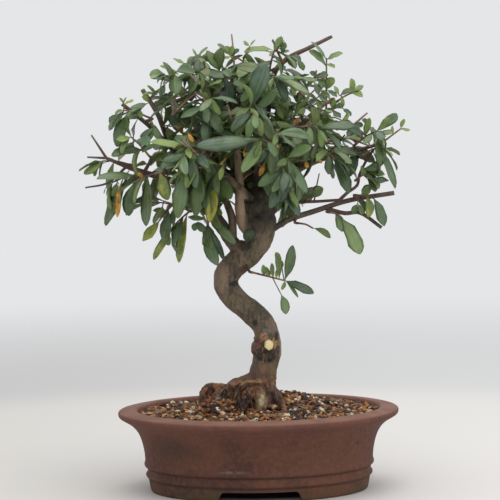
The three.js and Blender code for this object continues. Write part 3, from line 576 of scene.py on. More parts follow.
# pairs of leaves, side shoots, seed and bow of a stem
USUAL_STEM = (1, 0, None, 1)
PLACED_STEMS = [
    # root, tip, what differs from USUAL_STEM, and leaves: place along the stem, tip, width and turn
    ((-82, -25, 223), (-101, -28, 217.5), (1, 0, 499),
     [(0.4, -105, -33, 188, 9), (1, -100.5, -29, 191, 6, 1.3), (0.15, -111, -33, 220, 8)]),
    ((-90, -13, 229.5), (-108, -16, 232), (), [(1, -120.5, -21, 223, 6.5)]),
    ((-76, -20, 236), (-88, -25, 249), (2, 0, 567),
     [(0.2, -101, -30, 236, 7.5), (1, -98, -28, 247, 7)]),
    ((-76, -14, 262), (-93, -17, 267), (2, 0, 240),
     [(1, -103, -21, 253, 6.5), (0.3, -91, -26, 260, 7)]),
    ((-50, -14, 280), (-64, -18, 291), (2, 1, 512),
     [(0.9, -75, -24, 291, 7), (0.4, -66, -22, 300, 5.5), (0.1, -45, -22, 304, 6.5)]),
    ((-66, -27, 225), (-86, -32, 217.5), (),
     [(1, -89, -36, 195, 9), (0.5, -77, -36, 188, 8.5), (0.1, -62, -38, 206, 9)]),
    ((-38, -35, 228), (-52, -42, 225.5), (2,), [(0.9, -55, -47, 194, 10.5), (0.3, -43, -46, 195, 11)]),
    ((-24, -29, 222), (-34, -37, 217.5), (), [(0.9, -33, -43, 191, 9), (0.2, -19, -45, 207, 9)]),
    # below the low branch at the left
    ((-33, -12, 195), (-36, -18, 184.5), (1, 0, 482),
     [(1, -28.5, -24, 160, 8.5), (0.8, -23.5, -22, 163, 4.5), (0.3, -16, -22, 175, 7)]),
    ((-42, -15, 201), (-60, -20, 186), (1, 1, 314),
     [(0.75, -56, -25, 177, 7), (1, -72.5, -25, 164, 6), (0.4, -55, -25, 162, 6.5)]),
    ((-54, -16, 207), (-69, -21, 190.5), (1, 1), [(1, -80, -27, 177, 7.5), (0.6, -73, -24, 198, 5)]),
    # the crown's face
    ((-5, -40, 257), (-6, -52, 269.5), (3, 2),
     [(1, 5.2, -54, 299, 13), (0.3, 13, -52, 281, 7.5)]),
    ((10, -55, 243), (1, -66, 248), (3, 1),
     [(1, -42, -68, 243.5, 10.5), (0.9, -11, -72, 226, 9), (0.3, -4, -66, 231, 7)]),
    ((-38, -42, 236), (-50, -50, 243), (3, 1),
     [(0.5, -66, -54, 228, 9.5), (1, -73, -52, 246, 6.5)]),
    ((13, -50, 229), (19, -62, 235), (2, 1),
     [(1, 35, -66, 243, 8.5), (0.4, 8.5, -68, 215, 8), (0.9, 32, -64, 212, 7.5)]),
    ((12, -42, 221), (17, -49, 218), (1, 0, 376), [(1, 27, -55, 196, 7.5)]),
    ((42, -38, 240), (52, -45, 234), (3, 1, 386),
     [(1, 61, -49, 211, 9), (0.5, 47, -50, 224, 6.5)]),
    ((28, -46, 256), (40, -54, 255), (3, 1),
     [(1, 65, -59, 257, 7.5), (0.7, 36, -60, 270, 7)]),
    ((4, -22, 284), (10, -38, 290), (3, 2),
     [(1, 33, -50, 279, 8.5), (0.8, -15, -44, 296, 9)]),
    ((8, -8, 297), (11, -12, 308.5), (2,), [(1, -10, -16, 307, 5.5), (0.8, 16, -14, 318, 4.5)]),
    ((-22, -8, 284), (-27, -15, 294), (3, 1),
     [(1, -25.5, -20, 310, 7.5), (0.9, -36, -20, 308, 6)]),
    ((-31, -28, 264), (-38, -36, 271), (3, 2), [(1, -53, -46, 262, 8)]),
    # the right side
    ((46.8, -15, 262), (46.8, -17, 303), (0, 0, None, 0),
     [(0.85, 34.5, -20, 308, 6.5), (1, 58, -20, 306, 6), (0.97, 36, -19, 314, 4), (0.9, 52, -23, 296, 4.5)]),
    ((56, -6, 274), (65, -7, 279), (0, 0, None, 0.5),
     [(1, 73, -8, 284, 5), (0.9, 64, -12, 289, 5), (0.8, 72, -13, 276, 5)]),
    ((85, -12, 244), (99, -13, 254.5), (0, 0, None, 0),
     [(1, 101, -13, 261, 3), (0.95, 105, -15, 253, 3.5), (0.6, 92, -17, 256, 4)]),
    ((68, -16, 244), (82, -19, 253), (2, 1, 464),
     [(1, 90, -22, 262, 5), (0.9, 94, -25, 251, 5.5), (0.4, 76, -26, 262, 5)]),
    ((72, -17, 236), (84, -20, 241.5), (1, 0, 463), [(1, 94, -25, 213, 6.5)]),
    ((69, -17, 220), (75, -21, 223), (0,), [(1, 90, -28, 230, 11.5), (0.7, 88, -28, 211, 9.5)]),
    ((50, -13, 196), (58, -15, 192.5), (0,), [(1, 70.5, -20, 167.5, 11.5), (0.4, 58, -20, 183, 7)]),
    ((69, -13, 208), (80, -16, 206), (0,),
     [(1, 87, -21, 187, 9), (0.5, 76, -21, 193, 6), (0.2, 78, -18, 215, 6.5)]),
    ((28, -12, 188.5), (38, -14, 185), (0,), [(1, 50, -16, 178.5, 4.5)]),
    ((34, 3, 204), (38, -2, 206), (0,), [(1, 45, -8, 213, 7.5)]),
    # the shoot low on the trunk
    ((-3.5, -11, 153.9), (18.8, -13, 148.4), (0, 0, None, 0),
     [(1, 23.8, -16, 173.5, 7), (0.97, 38.5, -18, 140, 6.5), (0.62, 20, -18, 124.5, 7),
      (0.8, 12.5, -17, 167, 4), (0.35, 3, -17, 160, 3.5)]),
    # at the top
    ((-2, -14, 282), (-4, -26, 293), (3, 1, 201), [(0.9, -13, -34, 281, 7.5)]),
    ((-38, -10, 284), (-45, -17, 295), (3, 1, 226), [(1, -47, -22, 304, 6)]),
]


def stream(seed):
    """Draws between 0 and 1, the same ones for the same seed."""
    state = seed * 7919 + 104729
    while True:
        state = state * 48271 % 2147483647
        yield state / 2147483647


def between(draw, least, more):
    """A draw from the least up to that much more."""
    return least + more * next(draw)


def stem(root, tip, bow, radii):
    return {"rings": [root, (root + tip) / 2 + bow * UP, tip], "radii": radii}


def on_stem(part, t):
    root, middle, tip = part["rings"]
    return root.lerp(middle, 2 * t) if t < 0.5 else middle.lerp(tip, 2 * t - 1)


def heading(part, t):
    root, middle, tip = part["rings"]
    return (middle - root if t < 0.5 else tip - middle).normalized()


def outwards(along, turn):
    """The direction at right angles to a stem, turned about it from the level."""
    level = along.cross(UP)
    if level.length_squared < 0.01:
        level = Vector((1, 0, 0))
    level.normalize()
    return level * math.cos(turn) + level.cross(along).normalized() * math.sin(turn)


def reach(direction):
    """How far the crown's stems reach from its middle."""
    sideways = REACH_LEFT if direction.x < 0 else REACH_RIGHT
    upwards = REACH_UP if direction.z > 0 else REACH_DOWN
    return 1 / math.hypot(direction.x / sideways, direction.y / REACH_DEPTH, direction.z / upwards)


def stems_of(spray):
    draw = spray["draw"]
    main = stem(spray["root"], spray["tip"], spray["bow"], STEM_RADII)
    made = [main]
    turn = next(draw) * math.pi * 2
    first, apart, stray = SHOOT_PLACES
    for i in range(spray["shoots"]):
        t = first + apart * i + stray * next(draw)
        length = between(draw, *SHOOT_LENGTHS)
        root = on_stem(main, t)
        tip = root + heading(main, t) * SHOOT_FORWARD * length
        tip += outwards(heading(main, t), turn + i * SHOOT_TURN) * SHOOT_OUT * length + SHOOT_LIFT * UP
        made.append(stem(root, tip, 0.7, SHOOT_RADII))
    return made


sprays = []
for i, (root, tip, settings, leaves) in enumerate(PLACED_STEMS):
    pairs, shoots, seed, bow = (*settings, *USUAL_STEM[len(settings):])
    sprays.append({
        "root": Vector(root), "tip": Vector(tip), "bow": bow, "pairs": pairs, "shoots": shoots,
        "droop": PLACED_DROOP, "placed": leaves, "draw": stream(seed or 101 + i),
    })
for i in range(CROWN_STEMS):
    draw = stream(i + 1)
    rise = 1 - 1.5 * (i + 0.5) / CROWN_STEMS
    level = math.sqrt(1 - rise * rise)
    turn = i * GOLDEN_ANGLE
    direction = Vector((level * math.cos(turn), level * math.sin(turn), rise))
    distance = reach(direction) * between(draw, *REACH_SHARES)
    length = between(draw, *STEM_LENGTHS)
    tip = CROWN + direction * distance
    if any((spray["tip"] - tip).length < STEM_SPACING for spray in sprays[:len(PLACED_STEMS)]):
        continue
    if any((middle - tip).length < OPENING_RADIUS for middle in CROWN_OPENINGS):
        continue
    sprays.append({
        "root": CROWN + direction * (distance - length) - STEM_DROP * UP, "tip": tip, "bow": CROWN_BOW,
        "pairs": 3, "shoots": 2, "droop": CROWN_DROOP[0] + CROWN_DROOP[1] * (1 - max(rise, 0)),
        "placed": [], "draw": draw,
    })

buds = []
for points, radii in [TRUNK, *BRANCHES]:
    points = [Vector(point) for point in points]
    for i in range(BUDS):
        t = (i + 1) / BUDS
        buds.append((curve_point(points, t), spread(radii, t)))
twigs = []
for spray in sprays:
    spray["stems"] = stems_of(spray)
    bud, radius = min(buds, key=lambda bud: (bud[0] - spray["root"]).length)
    knee = spray["root"] - heading(spray["stems"][0], 0) * (TWIG_END + TWIG_GAP)
    spray["twig"] = {"rings": [bud, (bud + knee) / 2, knee]}
    twigs.append(([bud, knee, spray["root"]], [min(TWIG_RADII[0], radius), *TWIG_RADII[1:]]))

fused = [limb for limb in BRANCHES if max(limb[1]) > FUSED_RADIUS]
wood = [sweep("wood", [TRUNK, *fused, *ROOTS], 4)]
for centre, radius, shape in KNOBS:
    bpy.ops.mesh.primitive_ico_sphere_add(subdivisions=3, radius=radius * MM, location=on_tree(*centre))
    knob = added("knob")
    knob.scale = shape
    settle(knob)
    wood.append(knob)
wood = join("wood", wood)
modify(wood, "REMESH", mode="VOXEL", voxel_size=WOOD_VOXEL * MM)
modify(wood, "SMOOTH", factor=0.5, iterations=4)
thick = wood.vertex_groups.new(name="thick")
rough = wood.vertex_groups.new(name="rough")
for vertex in wood.data.vertices:
    point = (vertex.co - PLACE) / MM
    on_trunk = math.hypot(point.x - TRUNK_X, point.y) < TRUNK_REACH and point.z < TRUNK_TOP
    thick.add([vertex.index], 1 if on_trunk else BRANCH_SHARE, "REPLACE")
    flare = min(1, max(0, (FLARE_TOP - point.z) / FLARE_FADE))
    pruned = HEAD_SHARE * closeness(point, *HEAD)
    rough.add([vertex.index], max(flare, closeness(point, *WOUND), pruned), "REPLACE")
for group, size, detail, depth in ROUGHENING:
    lumps = bpy.data.textures.new(group, "CLOUDS")
    lumps.noise_scale = size * MM
    lumps.noise_depth = detail
    settings = {"texture": lumps, "texture_coords": "LOCAL", "vertex_group": group}
    modify(wood, "DISPLACE", strength=depth * MM, **settings)
smooth(wood, 180)

bark = Finish("bark", on_tree)
height_mm = bark.height()
drawn = bark.scaled(bark.where(), 1, 1, 0.3)
tone = bark.noise(9, 3, drawn).above(0.34, 0.68)
bark.base = bark.mix(tone, "40362d", "766852")
bark.paint(bark.noise(14).above(0.5, 0.64) * 0.55, "52523a")
bark.paint(bark.noise(6, 3, drawn).above(0.56, 0.68) * 0.5, "714b39")
bark.paint(bark.noise(4.4).above(0.58, 0.7) * 0.45, "7d7464")
bark.paint(bark.noise(2.4, 4).above(0.56, 0.66) * 0.35, "857256")
bark.paint(bark.noise(1.8, 4, drawn).above(0.5, 0.66) * 0.55, "30251e")
dark_head = bark.near((1, -2, 203), 28, 30, 26).above(0, 0.5) * (0.6 + bark.noise(5) * 0.5)
bark.paint(dark_head, bark.mix(bark.noise(7).above(0.4, 0.6), "1b1714", "33301f"))
pale_branch = bark.near((-14.5, -10, 222), 9, 9, 66).above(0.1, 0.4)
bark.paint(pale_branch * 0.85, bark.mix(tone, "8a705a", "b49b82"))
outer = bark.length(bark.scaled(bark.where(), 1, 1, 0)) / MM
young = outer.above(30, 62) * height_mm.above(150, 190) * bark.noise(12, 2).above(0.3, 0.56)
bark.paint(young * 0.8, "5d4842")
TWIG_TONES = [
    # centre, half sizes, softness, share and colour, at the ends of branches
    ((-73, 0, 273), (14, 40, 17), 0.4, 0.7, "877a6a"), ((46, 0, 282), (5, 40, 26), 0.3, 0.8, "94786a"),
    ((15.5, 0, 299), (6, 8, 7), 0.4, 0.7, "9a754e"), ((37, -2.5, 311.5), (19, 8, 11), 0.3, 0.85, "624c46"),
    ((-18, -2, 308), (5, 8, 20), 0.4, 0.7, "a8927a"),
]
for centre, half_sizes, soft, share, code in TWIG_TONES:
    bark.paint(bark.near(centre, *half_sizes).above(0, soft) * share, code)
damp = height_mm.below(84, 104) * bark.noise(8, 3, drawn).above(0.26, 0.56)
bark.paint(damp * 0.8, "58392a")
soaked = bark.mix(bark.noise(4, 4).above(0.36, 0.62), "392519", "906247")
soaked = bark.mix(bark.noise(1.3, 3, drawn).above(0.54, 0.66) * 0.6, soaked, "9a6f49")
bark.paint(height_mm.below(75, 82) * 0.92, soaked)
BARK_MARKS = [
    # centre, half sizes, share and colour: on the trunk, the first of them a painted highlight on the
    # lit left side of the bend
    ((-27, -2, 151), (8, 10, 14), 0.45, "947c6a"), ((9.5, -8, 116.5), (5, 9, 9), 0.4, "88765f"),
    ((4.5, -8, 173), (5, 9, 11), 0.4, "7f6c58"), ((-9.5, -8, 155), (5, 8, 5.5), 0.75, "492e27"),
    ((-16.5, -5, 145.4), (5.4, 9, 2.8), 0.92, "19130f"), ((-2.3, -9, 118.4), (2.4, 6, 3.2), 0.85, "251a15"),
    ((4.8, -9, 113), (3, 7, 2.8), 0.3, "78826c"), ((-10, -8, 172), (7, 9, 4.5), 0.75, "2a241f"),
    ((-3.7, -8, 87), (4, 9, 6), 0.55, "5c4543"), ((9.5, -8, 86), (4.6, 10, 9), 0.5, "766a42"),
    ((3.4, -10, 87), (4, 9, 6), 0.45, "8a6a4a"), ((14.6, -6, 101), (2.6, 9, 11), 0.55, "8f8271"),
    # round the wound: salmon and tan callus, brown bark, and the black mouth under it,
    # partly dark bark and partly painted shade under the callus; the darkest marks at its right are painted
    # shade in a crease
    ((1, -12, 103.6), (5.4, 8, 7), 0.85, "704634"), ((-0.6, -10, 106.4), (2.2, 8, 3.4), 0.6, "4a3338"),
    ((3.9, -12, 109.4), (3.8, 7, 3), 0.8, "a8735a"), ((3.8, -14, 109.3), (1.2, 7, 1), 0.7, "70331f"),
    ((11.6, -12, 104.6), (2.9, 8, 5.4), 0.9, "a98455"), ((12.6, -10, 109), (1.9, 8, 4.2), 0.9, "1f1512"),
    ((-3.2, -10, 100.3), (3, 8, 4), 0.7, "5a423c"), ((3, -13, 103.5), (2.4, 8, 3.6), 0.75, "33231f"),
    ((5.8, -13, 96.4), (11, 10, 7), 0.92, "2b211b"), ((13.6, -9, 100), (1.9, 9, 4.4), 0.85, "2c1f1b"),
    ((5, -13, 93.4), (5.6, 9, 2.4), 0.8, "130e0c"), ((1, -13, 98.6), (1.9, 9, 1.5), 0.5, "6a4d42"),
    # at the roots: red-brown flare, tan ridge over a dark hollow, and the pale root with its orange foot;
    # the palest mark is a painted highlight down the pale root's middle
    ((2.6, -10, 77.6), (5.4, 10, 5), 0.7, "6a432f"), ((0.5, -12, 78.4), (2.6, 9, 2.4), 0.6, "9a7350"),
    ((-7.5, -18, 78), (9, 6, 3), 0.65, "94754f"), ((11, -14, 68), (6.4, 11, 10), 0.85, "3a2824"),
    ((2.2, -22, 64), (6.4, 9, 14), 0.95, "806b4c"), ((1.9, -22, 72.6), (4.4, 8, 4), 0.7, "7d5a40"),
    ((2.2, -24, 66), (3.6, 8, 6), 0.75, "b9b08c"), ((2.4, -23, 56), (4, 9, 4.4), 0.8, "b17b42"),
]
ragged = bark.noise(2.4) * 0.9 + bark.noise(0.9, 2) * 0.5 - 0.7
for centre, half_sizes, share, code in BARK_MARKS:
    bark.paint((bark.near(centre, *half_sizes) + ragged).above(0.05, 0.45) * share, code)
broken = bark.near((5, -13, 101), 13, 12, 14).above(0, 0.5) + height_mm.below(76, 84) * 0.6
bark.paint(broken * bark.noise(1.3).above(0.5, 0.64) * 0.6, "271b16")
bark.paint(broken * bark.noise(1.7, 3, drawn).above(0.54, 0.66) * 0.5, "8d7557")
bark.set(Base_Color=bark.base, Roughness=0.7 + tone * 0.16)
bark.bump(bark.noise(1.2, 4, drawn) + bark.noise(4, 3, drawn) * 1.2, 0.6)
stubs = [(points, [1, 0.55]) for points in STUBS]
slender = [limb for limb in BRANCHES if limb not in fused]
twig_work = sweep("twigs", [*slender, *stubs, *twigs, FORK_SHOOT], 2, 3)
smooth(twig_work, 60)

FIBRES = [
    ([(-19.4, -17, 76), (-20.4, -19, 71), (-18.7, -21, 66.4), (-17.4, -22, 64)], [0.8, 0.9, 0.8, 0.5]),
    ([(-13.8, -23, 74), (-13.6, -25, 68), (-12.4, -25, 62), (-12, -24, 56)], [0.7, 0.8, 0.8, 0.7]),
    ([(-10, -23.4, 72.2), (-8, -24, 70.4), (-5.8, -24.2, 68.2)], [0.6, 0.8, 0.6]),
    ([(-4.6, -23, 73), (-5.2, -25, 66), (-3.6, -25, 60)], [0.5, 0.6, 0.5]),
]
wood_tree = BVHTree.FromObject(wood, bpy.context.evaluated_depsgraph_get())
draw = stream(800)
hairs = []
for i in range(HAIR_ROOTS):
    x, y, z = (between(draw, *side) for side in HAIR_BOX)
    points = []
    for step in range(6):
        near, facing = wood_tree.find_nearest(place(x, y, z))[:2]
        point = (near - PLACE) / MM + facing * HAIR_LIFT
        if points and (point - points[-1]).length < 0.8:
            break
        points.append(point)
        x, y, z = point + Vector((5 * next(draw) - 3.2, -1 - next(draw), -1.5 - 3 * next(draw)))
    if len(points) > 3:
        hairs.append((points, HAIR_RADII))
hairs += FIBRES
hair_roots = sweep("hair_roots", hairs, 1, 1.5, place)
smooth(hair_roots, 60)
fibre = Finish("fibre")
strands = fibre.mix(fibre.noise(3.4).above(0.5, 0.68), "35261d", "8a6544")
fibre.set(Base_Color=strands, Roughness=0.8)
bark.cover(wood, twig_work)
fibre.cover(hair_roots)

for piece in (wood, twig_work, hair_roots):
    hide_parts("trunk_and_branches")
    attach(piece, "root")

# The sawn face of the low branch that was cut off, a pale, blunt-cornered piece of bare wood with a ring
# in it. It stands a little out of the callus that has grown round it.

CUT_CENTRE = (7.2, -16.4, 103.9)
deselect()
bpy.ops.mesh.primitive_cylinder_add(vertices=6, radius=1, depth=2, location=(0, 0, 0))
sawn = added("sawn_face")
sawn.scale = (3.1 * MM, 3.9 * MM, 2.6 * MM)
sawn.rotation_euler = (math.radians(90), math.radians(8), math.radians(10))
sawn.location = on_tree(*CUT_CENTRE)
settle(sawn)
modify(sawn, "BEVEL", width=0.5 * MM, segments=3, limit_method="ANGLE")
smooth(sawn, 50)
pith = Finish("bare_wood", on_tree)
rings = (pith.near(CUT_CENTRE, 3.4, 8, 4) * 30).math("SINE")
pith.base = pith.mix(rings.above(-0.6, 1) * 0.5, "ecdba8", "c4a468")
pith.paint(pith.noise(2).above(0.5, 0.7) * 0.5, "d9c58f")
edge = pith.near(CUT_CENTRE, 3.9, 8, 4.5).below(0.02, 0.3)
pith.paint(edge * 0.8, "8e5a2e")
pith.set(Base_Color=pith.base, Roughness=0.6)
pith.bump(pith.noise(0.8), 0.2)
pith.cover(sawn)
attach(sawn, "root")

# The leaves: glossy, oblong and short-stalked, folded a little along a pale rib and arched. Leaf models
# are made once, flat and one unit long, and each leaf is a copy, bent to its own arc. What the solids
# keep of a spray is found by its tips, and the shorter leaves are added by the same rule.

LEAF_RATIO = 0.33
MAIN_LEAVES = (13, 16)
SHOOT_LEAVES = (12, 13)
TIP_LEAF = (19.5, 4)
TIP_SIDE_LEAVES = (10, 10)
PAIR_FORWARD = 0.5
PAIR_TURN = 1.6
TIP_FORWARD = 0.95
TIP_TURN = 2.1
GROWN_BEND = (0.25, 0.7)
GROWN_ROLL = 1.3
KEPT_LENGTH = 21.7
KEPT_WITHIN = 0.1
LEAF_TRIES = 12
PLACED_BEND = 0.5
PLACED_FACING = Vector((0, -0.75, 0.65))
LEAF_COLUMNS = 4
LEAF_ROWS = [
    # place along the leaf and half width: a short stalk, then the blade
    (0, 0.11), (0.06, 0.11), (0.17, 0.36), (0.33, 0.8), (0.52, 1.04), (0.71, 1.02), (0.87, 0.72),
    (0.965, 0.34), (1, 0.04),
]
LEAF_THICKNESS = 0.08
LEAF_TURN = 0.22
LEAF_ROLL = 0.15
LEAF_SHAPES = [
    # fold along the rib, height of the waves, their number and start, sideways curve, and twist
    (0.22, 0.08, 1.5, 0.1, 0.05, 0.3), (0.38, 0.06, 2, 0.4, -0.06, -0.4), (0.1, 0.13, 1.2, 0.7, 0.08, 0.6),
    (0.3, 0.05, 2.6, 0.2, -0.03, -0.2), (0.05, 0.14, 1.8, 0.55, 0, 0.1), (-0.16, 0.1, 1.4, 0.9, 0.06, -0.6),
    (0.5, 0.05, 1.1, 0.3, 0.1, 0.5), (0.16, 0.16, 1.6, 0, -0.1, -0.3),
]


def copy_of(model):
    """A copy of an object, with a mesh of its own."""
    piece = model.copy()
    piece.data = model.data.copy()
    piece.hide_render = False
    return in_scene(piece)


def put_mark(piece, name, value):
    """Gives all of a mesh one value, for its material to read."""
    values = [value] * len(piece.data.vertices)
    piece.data.attributes.new(name, "FLOAT", "POINT").data.foreach_set("value", values)


def leaf_model(number, fold, wave, waves, start, curve, twist):
    """A flat sheet shaped row by row, then closed below by a second sheet that shares its edge."""
    deselect()
    bpy.ops.mesh.primitive_grid_add(
        x_subdivisions=LEAF_COLUMNS, y_subdivisions=len(LEAF_ROWS) - 1, size=2, location=(0, 0, 0)
    )
    leaf = added(f"leaf_model_{number}")
    rims = []
    for vertex in leaf.data.vertices:
        row = round((vertex.co.y + 1) / 2 * (len(LEAF_ROWS) - 1))
        along, half_width = LEAF_ROWS[row]
        across = vertex.co.x
        rims.append(abs(across) > 0.99 or row in (0, len(LEAF_ROWS) - 1))
        ripple = wave * math.sin(2 * math.pi * (waves * along + start) + across) * 2
        out = across * half_width
        height = (fold + ripple) * abs(out)
        turn = twist * (along - 0.3)
        vertex.co.x = out * math.cos(turn) - height * math.sin(turn) + curve * math.sin(math.pi * along) * 4
        vertex.co.y = along
        vertex.co.z = out * math.sin(turn) + height * math.cos(turn)
    put_mark(leaf, "upper", 1)
    under = copy_of(leaf)
    for vertex, rim in zip(under.data.vertices, rims):
        if not rim:
            vertex.co.z -= LEAF_THICKNESS
            under.data.attributes["upper"].data[vertex.index].value = 0
    under.data.flip_normals()
    leaf = join(leaf.name, [leaf, under])
    edit(leaf)
    bpy.ops.mesh.select_all(action="SELECT")
    bpy.ops.mesh.remove_doubles(threshold=1e-4)
    done()
    leaf.data.shade_smooth()
    leaf.hide_render = True
    return leaf


leaf_models = [leaf_model(i, *shape) for i, shape in enumerate(LEAF_SHAPES)]


def leaf_to(base, along, tip, width, turn=0):
    """A leaf written by its tip: its upper face looks up and to the front."""
    chord = tip - base
    half_bend = PLACED_BEND / 2
    length = chord.length * half_bend / math.sin(half_bend)
    chord.normalize()
    normal = PLACED_FACING + (base - CROWN).normalized() * 0.3
    normal = (normal - chord * normal.dot(chord)).normalized()
    normal.rotate(Quaternion(chord, turn))
    direction = chord * math.cos(half_bend) + normal * math.sin(half_bend)
    normal = normal * math.cos(half_bend) - chord * math.sin(half_bend)
    return {
        "base": base, "along": along, "direction": direction, "normal": normal, "length": length,
        "width": width, "bend": PLACED_BEND,
    }


def placed_leaf(main, t, x, y, z, width, turn=0):
    t = min(t, STEM_TOP)
    return leaf_to(on_stem(main, t), heading(main, t), Vector((x, y, z)), width, turn)


def grown_leaf(spray, part, t, turn, forward, length):
    """A leaf placed by rule: it leaves its stem sideways and forwards, droops, and faces the light."""
    draw = spray["draw"]
    base = on_stem(part, t)
    along = heading(part, t)
    direction = (outwards(along, turn) * 0.8 + along * forward).normalized()
    direction = (direction - UP * spray["droop"]).normalized()
    normal = 0.8 * UP + (base - CROWN).normalized() * 0.75
    normal = (normal - direction * normal.dot(direction)).normalized()
    normal.rotate(Quaternion(direction, GROWN_ROLL * (next(draw) - 0.5)))
    return {
        "base": base, "along": along, "direction": direction, "normal": normal, "length": length,
        "width": length * LEAF_RATIO, "bend": between(draw, *GROWN_BEND),
    }


def grown_leaves(spray, part, is_main):
    draw = spray["draw"]
    leaves = []
    pairs = spray["pairs"] if is_main else 1
    first = next(draw) * math.pi
    for pair in range(pairs):
        t = (pair + 0.9) / (pairs + 0.6)
        for half in (0, math.pi):
            length = between(draw, *(MAIN_LEAVES if is_main else SHOOT_LEAVES))
            turn = first + pair * PAIR_TURN + half
            leaves.append(grown_leaf(spray, part, t, turn, PAIR_FORWARD, length))
    for i in range(3 if pairs or not is_main else 0):
        length = between(draw, *(TIP_SIDE_LEAVES if i else TIP_LEAF))
        turn = first + 1 + i * TIP_TURN
        leaves.append(grown_leaf(spray, part, STEM_TOP, turn, TIP_FORWARD, length))
    return leaves


def turned(leaf, attempt):
    """A leaf turned on its stem and about itself, a little further on each attempt, to alternate sides."""
    step = math.ceil(attempt / 2) * (1 if attempt % 2 else -1)
    about_stem = Quaternion(leaf["along"], LEAF_TURN * step)
    direction = about_stem @ leaf["direction"]
    normal = Quaternion(direction, LEAF_ROLL * step) @ (about_stem @ leaf["normal"])
    return {**leaf, "direction": direction, "normal": normal}


def on_leaf(leaf, across, along, height):
    """A point on a leaf's arc, across it in half widths and along it from 0 to 1."""
    side = leaf["normal"].cross(leaf["direction"])
    radius = leaf["length"] / leaf["bend"]
    angle = leaf["bend"] * along
    half_width = leaf["width"] / 2
    point = leaf["base"] - leaf["normal"] * radius + side * across * half_width
    radius += height * half_width
    return point + leaf["direction"] * radius * math.sin(angle) + leaf["normal"] * radius * math.cos(angle)


def as_kept(leaf, corners):
    """The leaf turned as the solids have it, or nothing if they don't."""
    for attempt in range(LEAF_TRIES):
        candidate = turned(leaf, attempt)
        if corners.find(on_tree(*on_leaf(candidate, 0, 1, 0)))[2] < KEPT_WITHIN * MM:
            return candidate
    return None


def leaf_copy(leaf, model, values):
    """A copy of a leaf model, bent to a leaf's arc."""
    piece = copy_of(model)
    for vertex in piece.data.vertices:
        vertex.co = on_tree(*on_leaf(leaf, *vertex.co))
    for name, value in values.items():
        put_mark(piece, name, value)
    return piece


blade = Finish("leaf")
across, along, _ = blade.axes(blade.node("UVMap", {"uv_map": "UVMap"}))
tint, youth_and_fill_light, yellowing, upper = map(blade.mark, ("tint", "youth_and_fill_light", "yellowing", "upper"))
off_rib = abs(across - 0.5)
hue = (tint * 7).math("FRACT")
blade.base = blade.mix(tint, "243d2d", "5d7840")
blade.paint(hue.above(0.6, 1) * 0.55, "4a6658")
blade.paint(hue.below(0, 0.34) * 0.6, "64652c")
blade.paint(blade.noise(7).above(0.42, 0.7) * 0.3, "6a804e")
blade.paint(blade.noise(5).above(0.6, 0.72) * 0.35, "6b5f30")
# painted sheen: pale grey-teal patches on the upper faces stand in for the light that they reflect
painted_sheen = blade.noise(13, 2).above(0.46, 0.66) * upper
blade.paint(painted_sheen * 0.26, "84968a")
streaks = blade.noise(2.2, 3, blade.node("CombineXYZ", {}, across * 0.02, along * 0.003, tint))
blade.paint(streaks.above(0.5, 0.66) * 0.35, "2a4030")
# young leaves are paler yellow-green, and the same mark paints the inner foliage paler, as painted fill light
blade.paint(youth_and_fill_light, "9cb45c")
slant = along * 26 - off_rib * 16
vein = abs((slant * math.pi).math("SINE")).below(0.05, 0.4)
blade.paint(vein * 0.1, "849f60")
lime = blade.mix(blade.noise(5).above(0.4, 0.6), "7b9036", "b0ae4c")
gold = blade.mix(blade.noise(4).above(0.35, 0.6), "b0701f", "d6aa3a")
ripe = blade.mix(yellowing.above(0.5, 0.8), lime, gold)
blade.paint(yellowing * (1.3 + blade.noise(5, 2) * 0.8), ripe)
blade.paint(upper.below(0.2, 0.8) * 0.6, "7f9058")
rib = off_rib.below(0.01, 0.045)
blade.paint(rib * 0.26, "9aac6c")
blade.set(Base_Color=blade.base, Roughness=0.5 - upper * 0.16 + blade.noise(3, 2) * 0.12)
blade.set(Coat_Weight=0.15, Coat_Roughness=0.3)
blade.bump(rib * -1 + vein * -0.35, 0.25)

twig_skin = Finish("shoot_bark")
shoot = twig_skin.mix(twig_skin.noise(6).above(0.4, 0.6), "604840", "8d705a")
twig_skin.set(Base_Color=shoot, Roughness=0.65)
twig_skin.bump(twig_skin.noise(1.2), 0.2)

LEAF_TONES = {
    # number of the spray and of the leaf in it, and its tone: 0 for dark to 1 for light
    (1, 0): 0.24, (6, 0): 0.2, (6, 1): 0.3, (12, 0): 0.12, (13, 0): 0.24, (13, 1): 0.12, (14, 1): 0.62,
    (16, 0): 0.12, (17, 0): 0.2, (28, 0): 0.3, (28, 1): 0.3, (29, 0): 0.13, (33, 1): 0.13,
}
TURNING_LEAVES = {
    # the same, and how far the leaf has turned yellow
    (1, 1): 0.95, (6, 2): 0.4, (8, 0): 0.55, (10, 0): 0.3, (10, 1): 0.4, (10, 2): 0.4, (11, 0): 0.35,
    (14, 1): 0.05, (19, 0): 0.15, (30, 1): 0.35,
}
# the shoot low on the trunk, and the one of its leaves that hangs from a finer twig instead
LOW_SHOOT = 33
HANGING_LEAF = 2
LOW_SHOOT_TWIGS = [
    # its finer parts, root and tip, and the leaves on them: root, tip, width
    ((9.8, -13, 150.5), (15.7, -15, 139.1)), ((17.8, -13, 148.6), (15.8, -14.5, 161)),
]
LOW_SHOOT_LEAVES = [
    ((15.7, -15, 139.1), (19.4, -17, 125.4), 6.6), ((15.8, -14.5, 161), (11.8, -16, 168.5), 4.4),
    ((16.6, -14, 157), (14.2, -16, 163.4), 3), ((10.5, -13, 150.4), (9.1, -15, 161), 3.4),
    ((8.7, -13, 150.8), (4.2, -14, 158.4), 3.6), ((18.4, -13, 148.5), (16.2, -16, 142.2), 2.8),
    ((18.8, -13, 148.4), (27.6, -17, 137), 2.4), ((12.6, -13, 149.9), (13.4, -15, 157.4), 2.6),
]
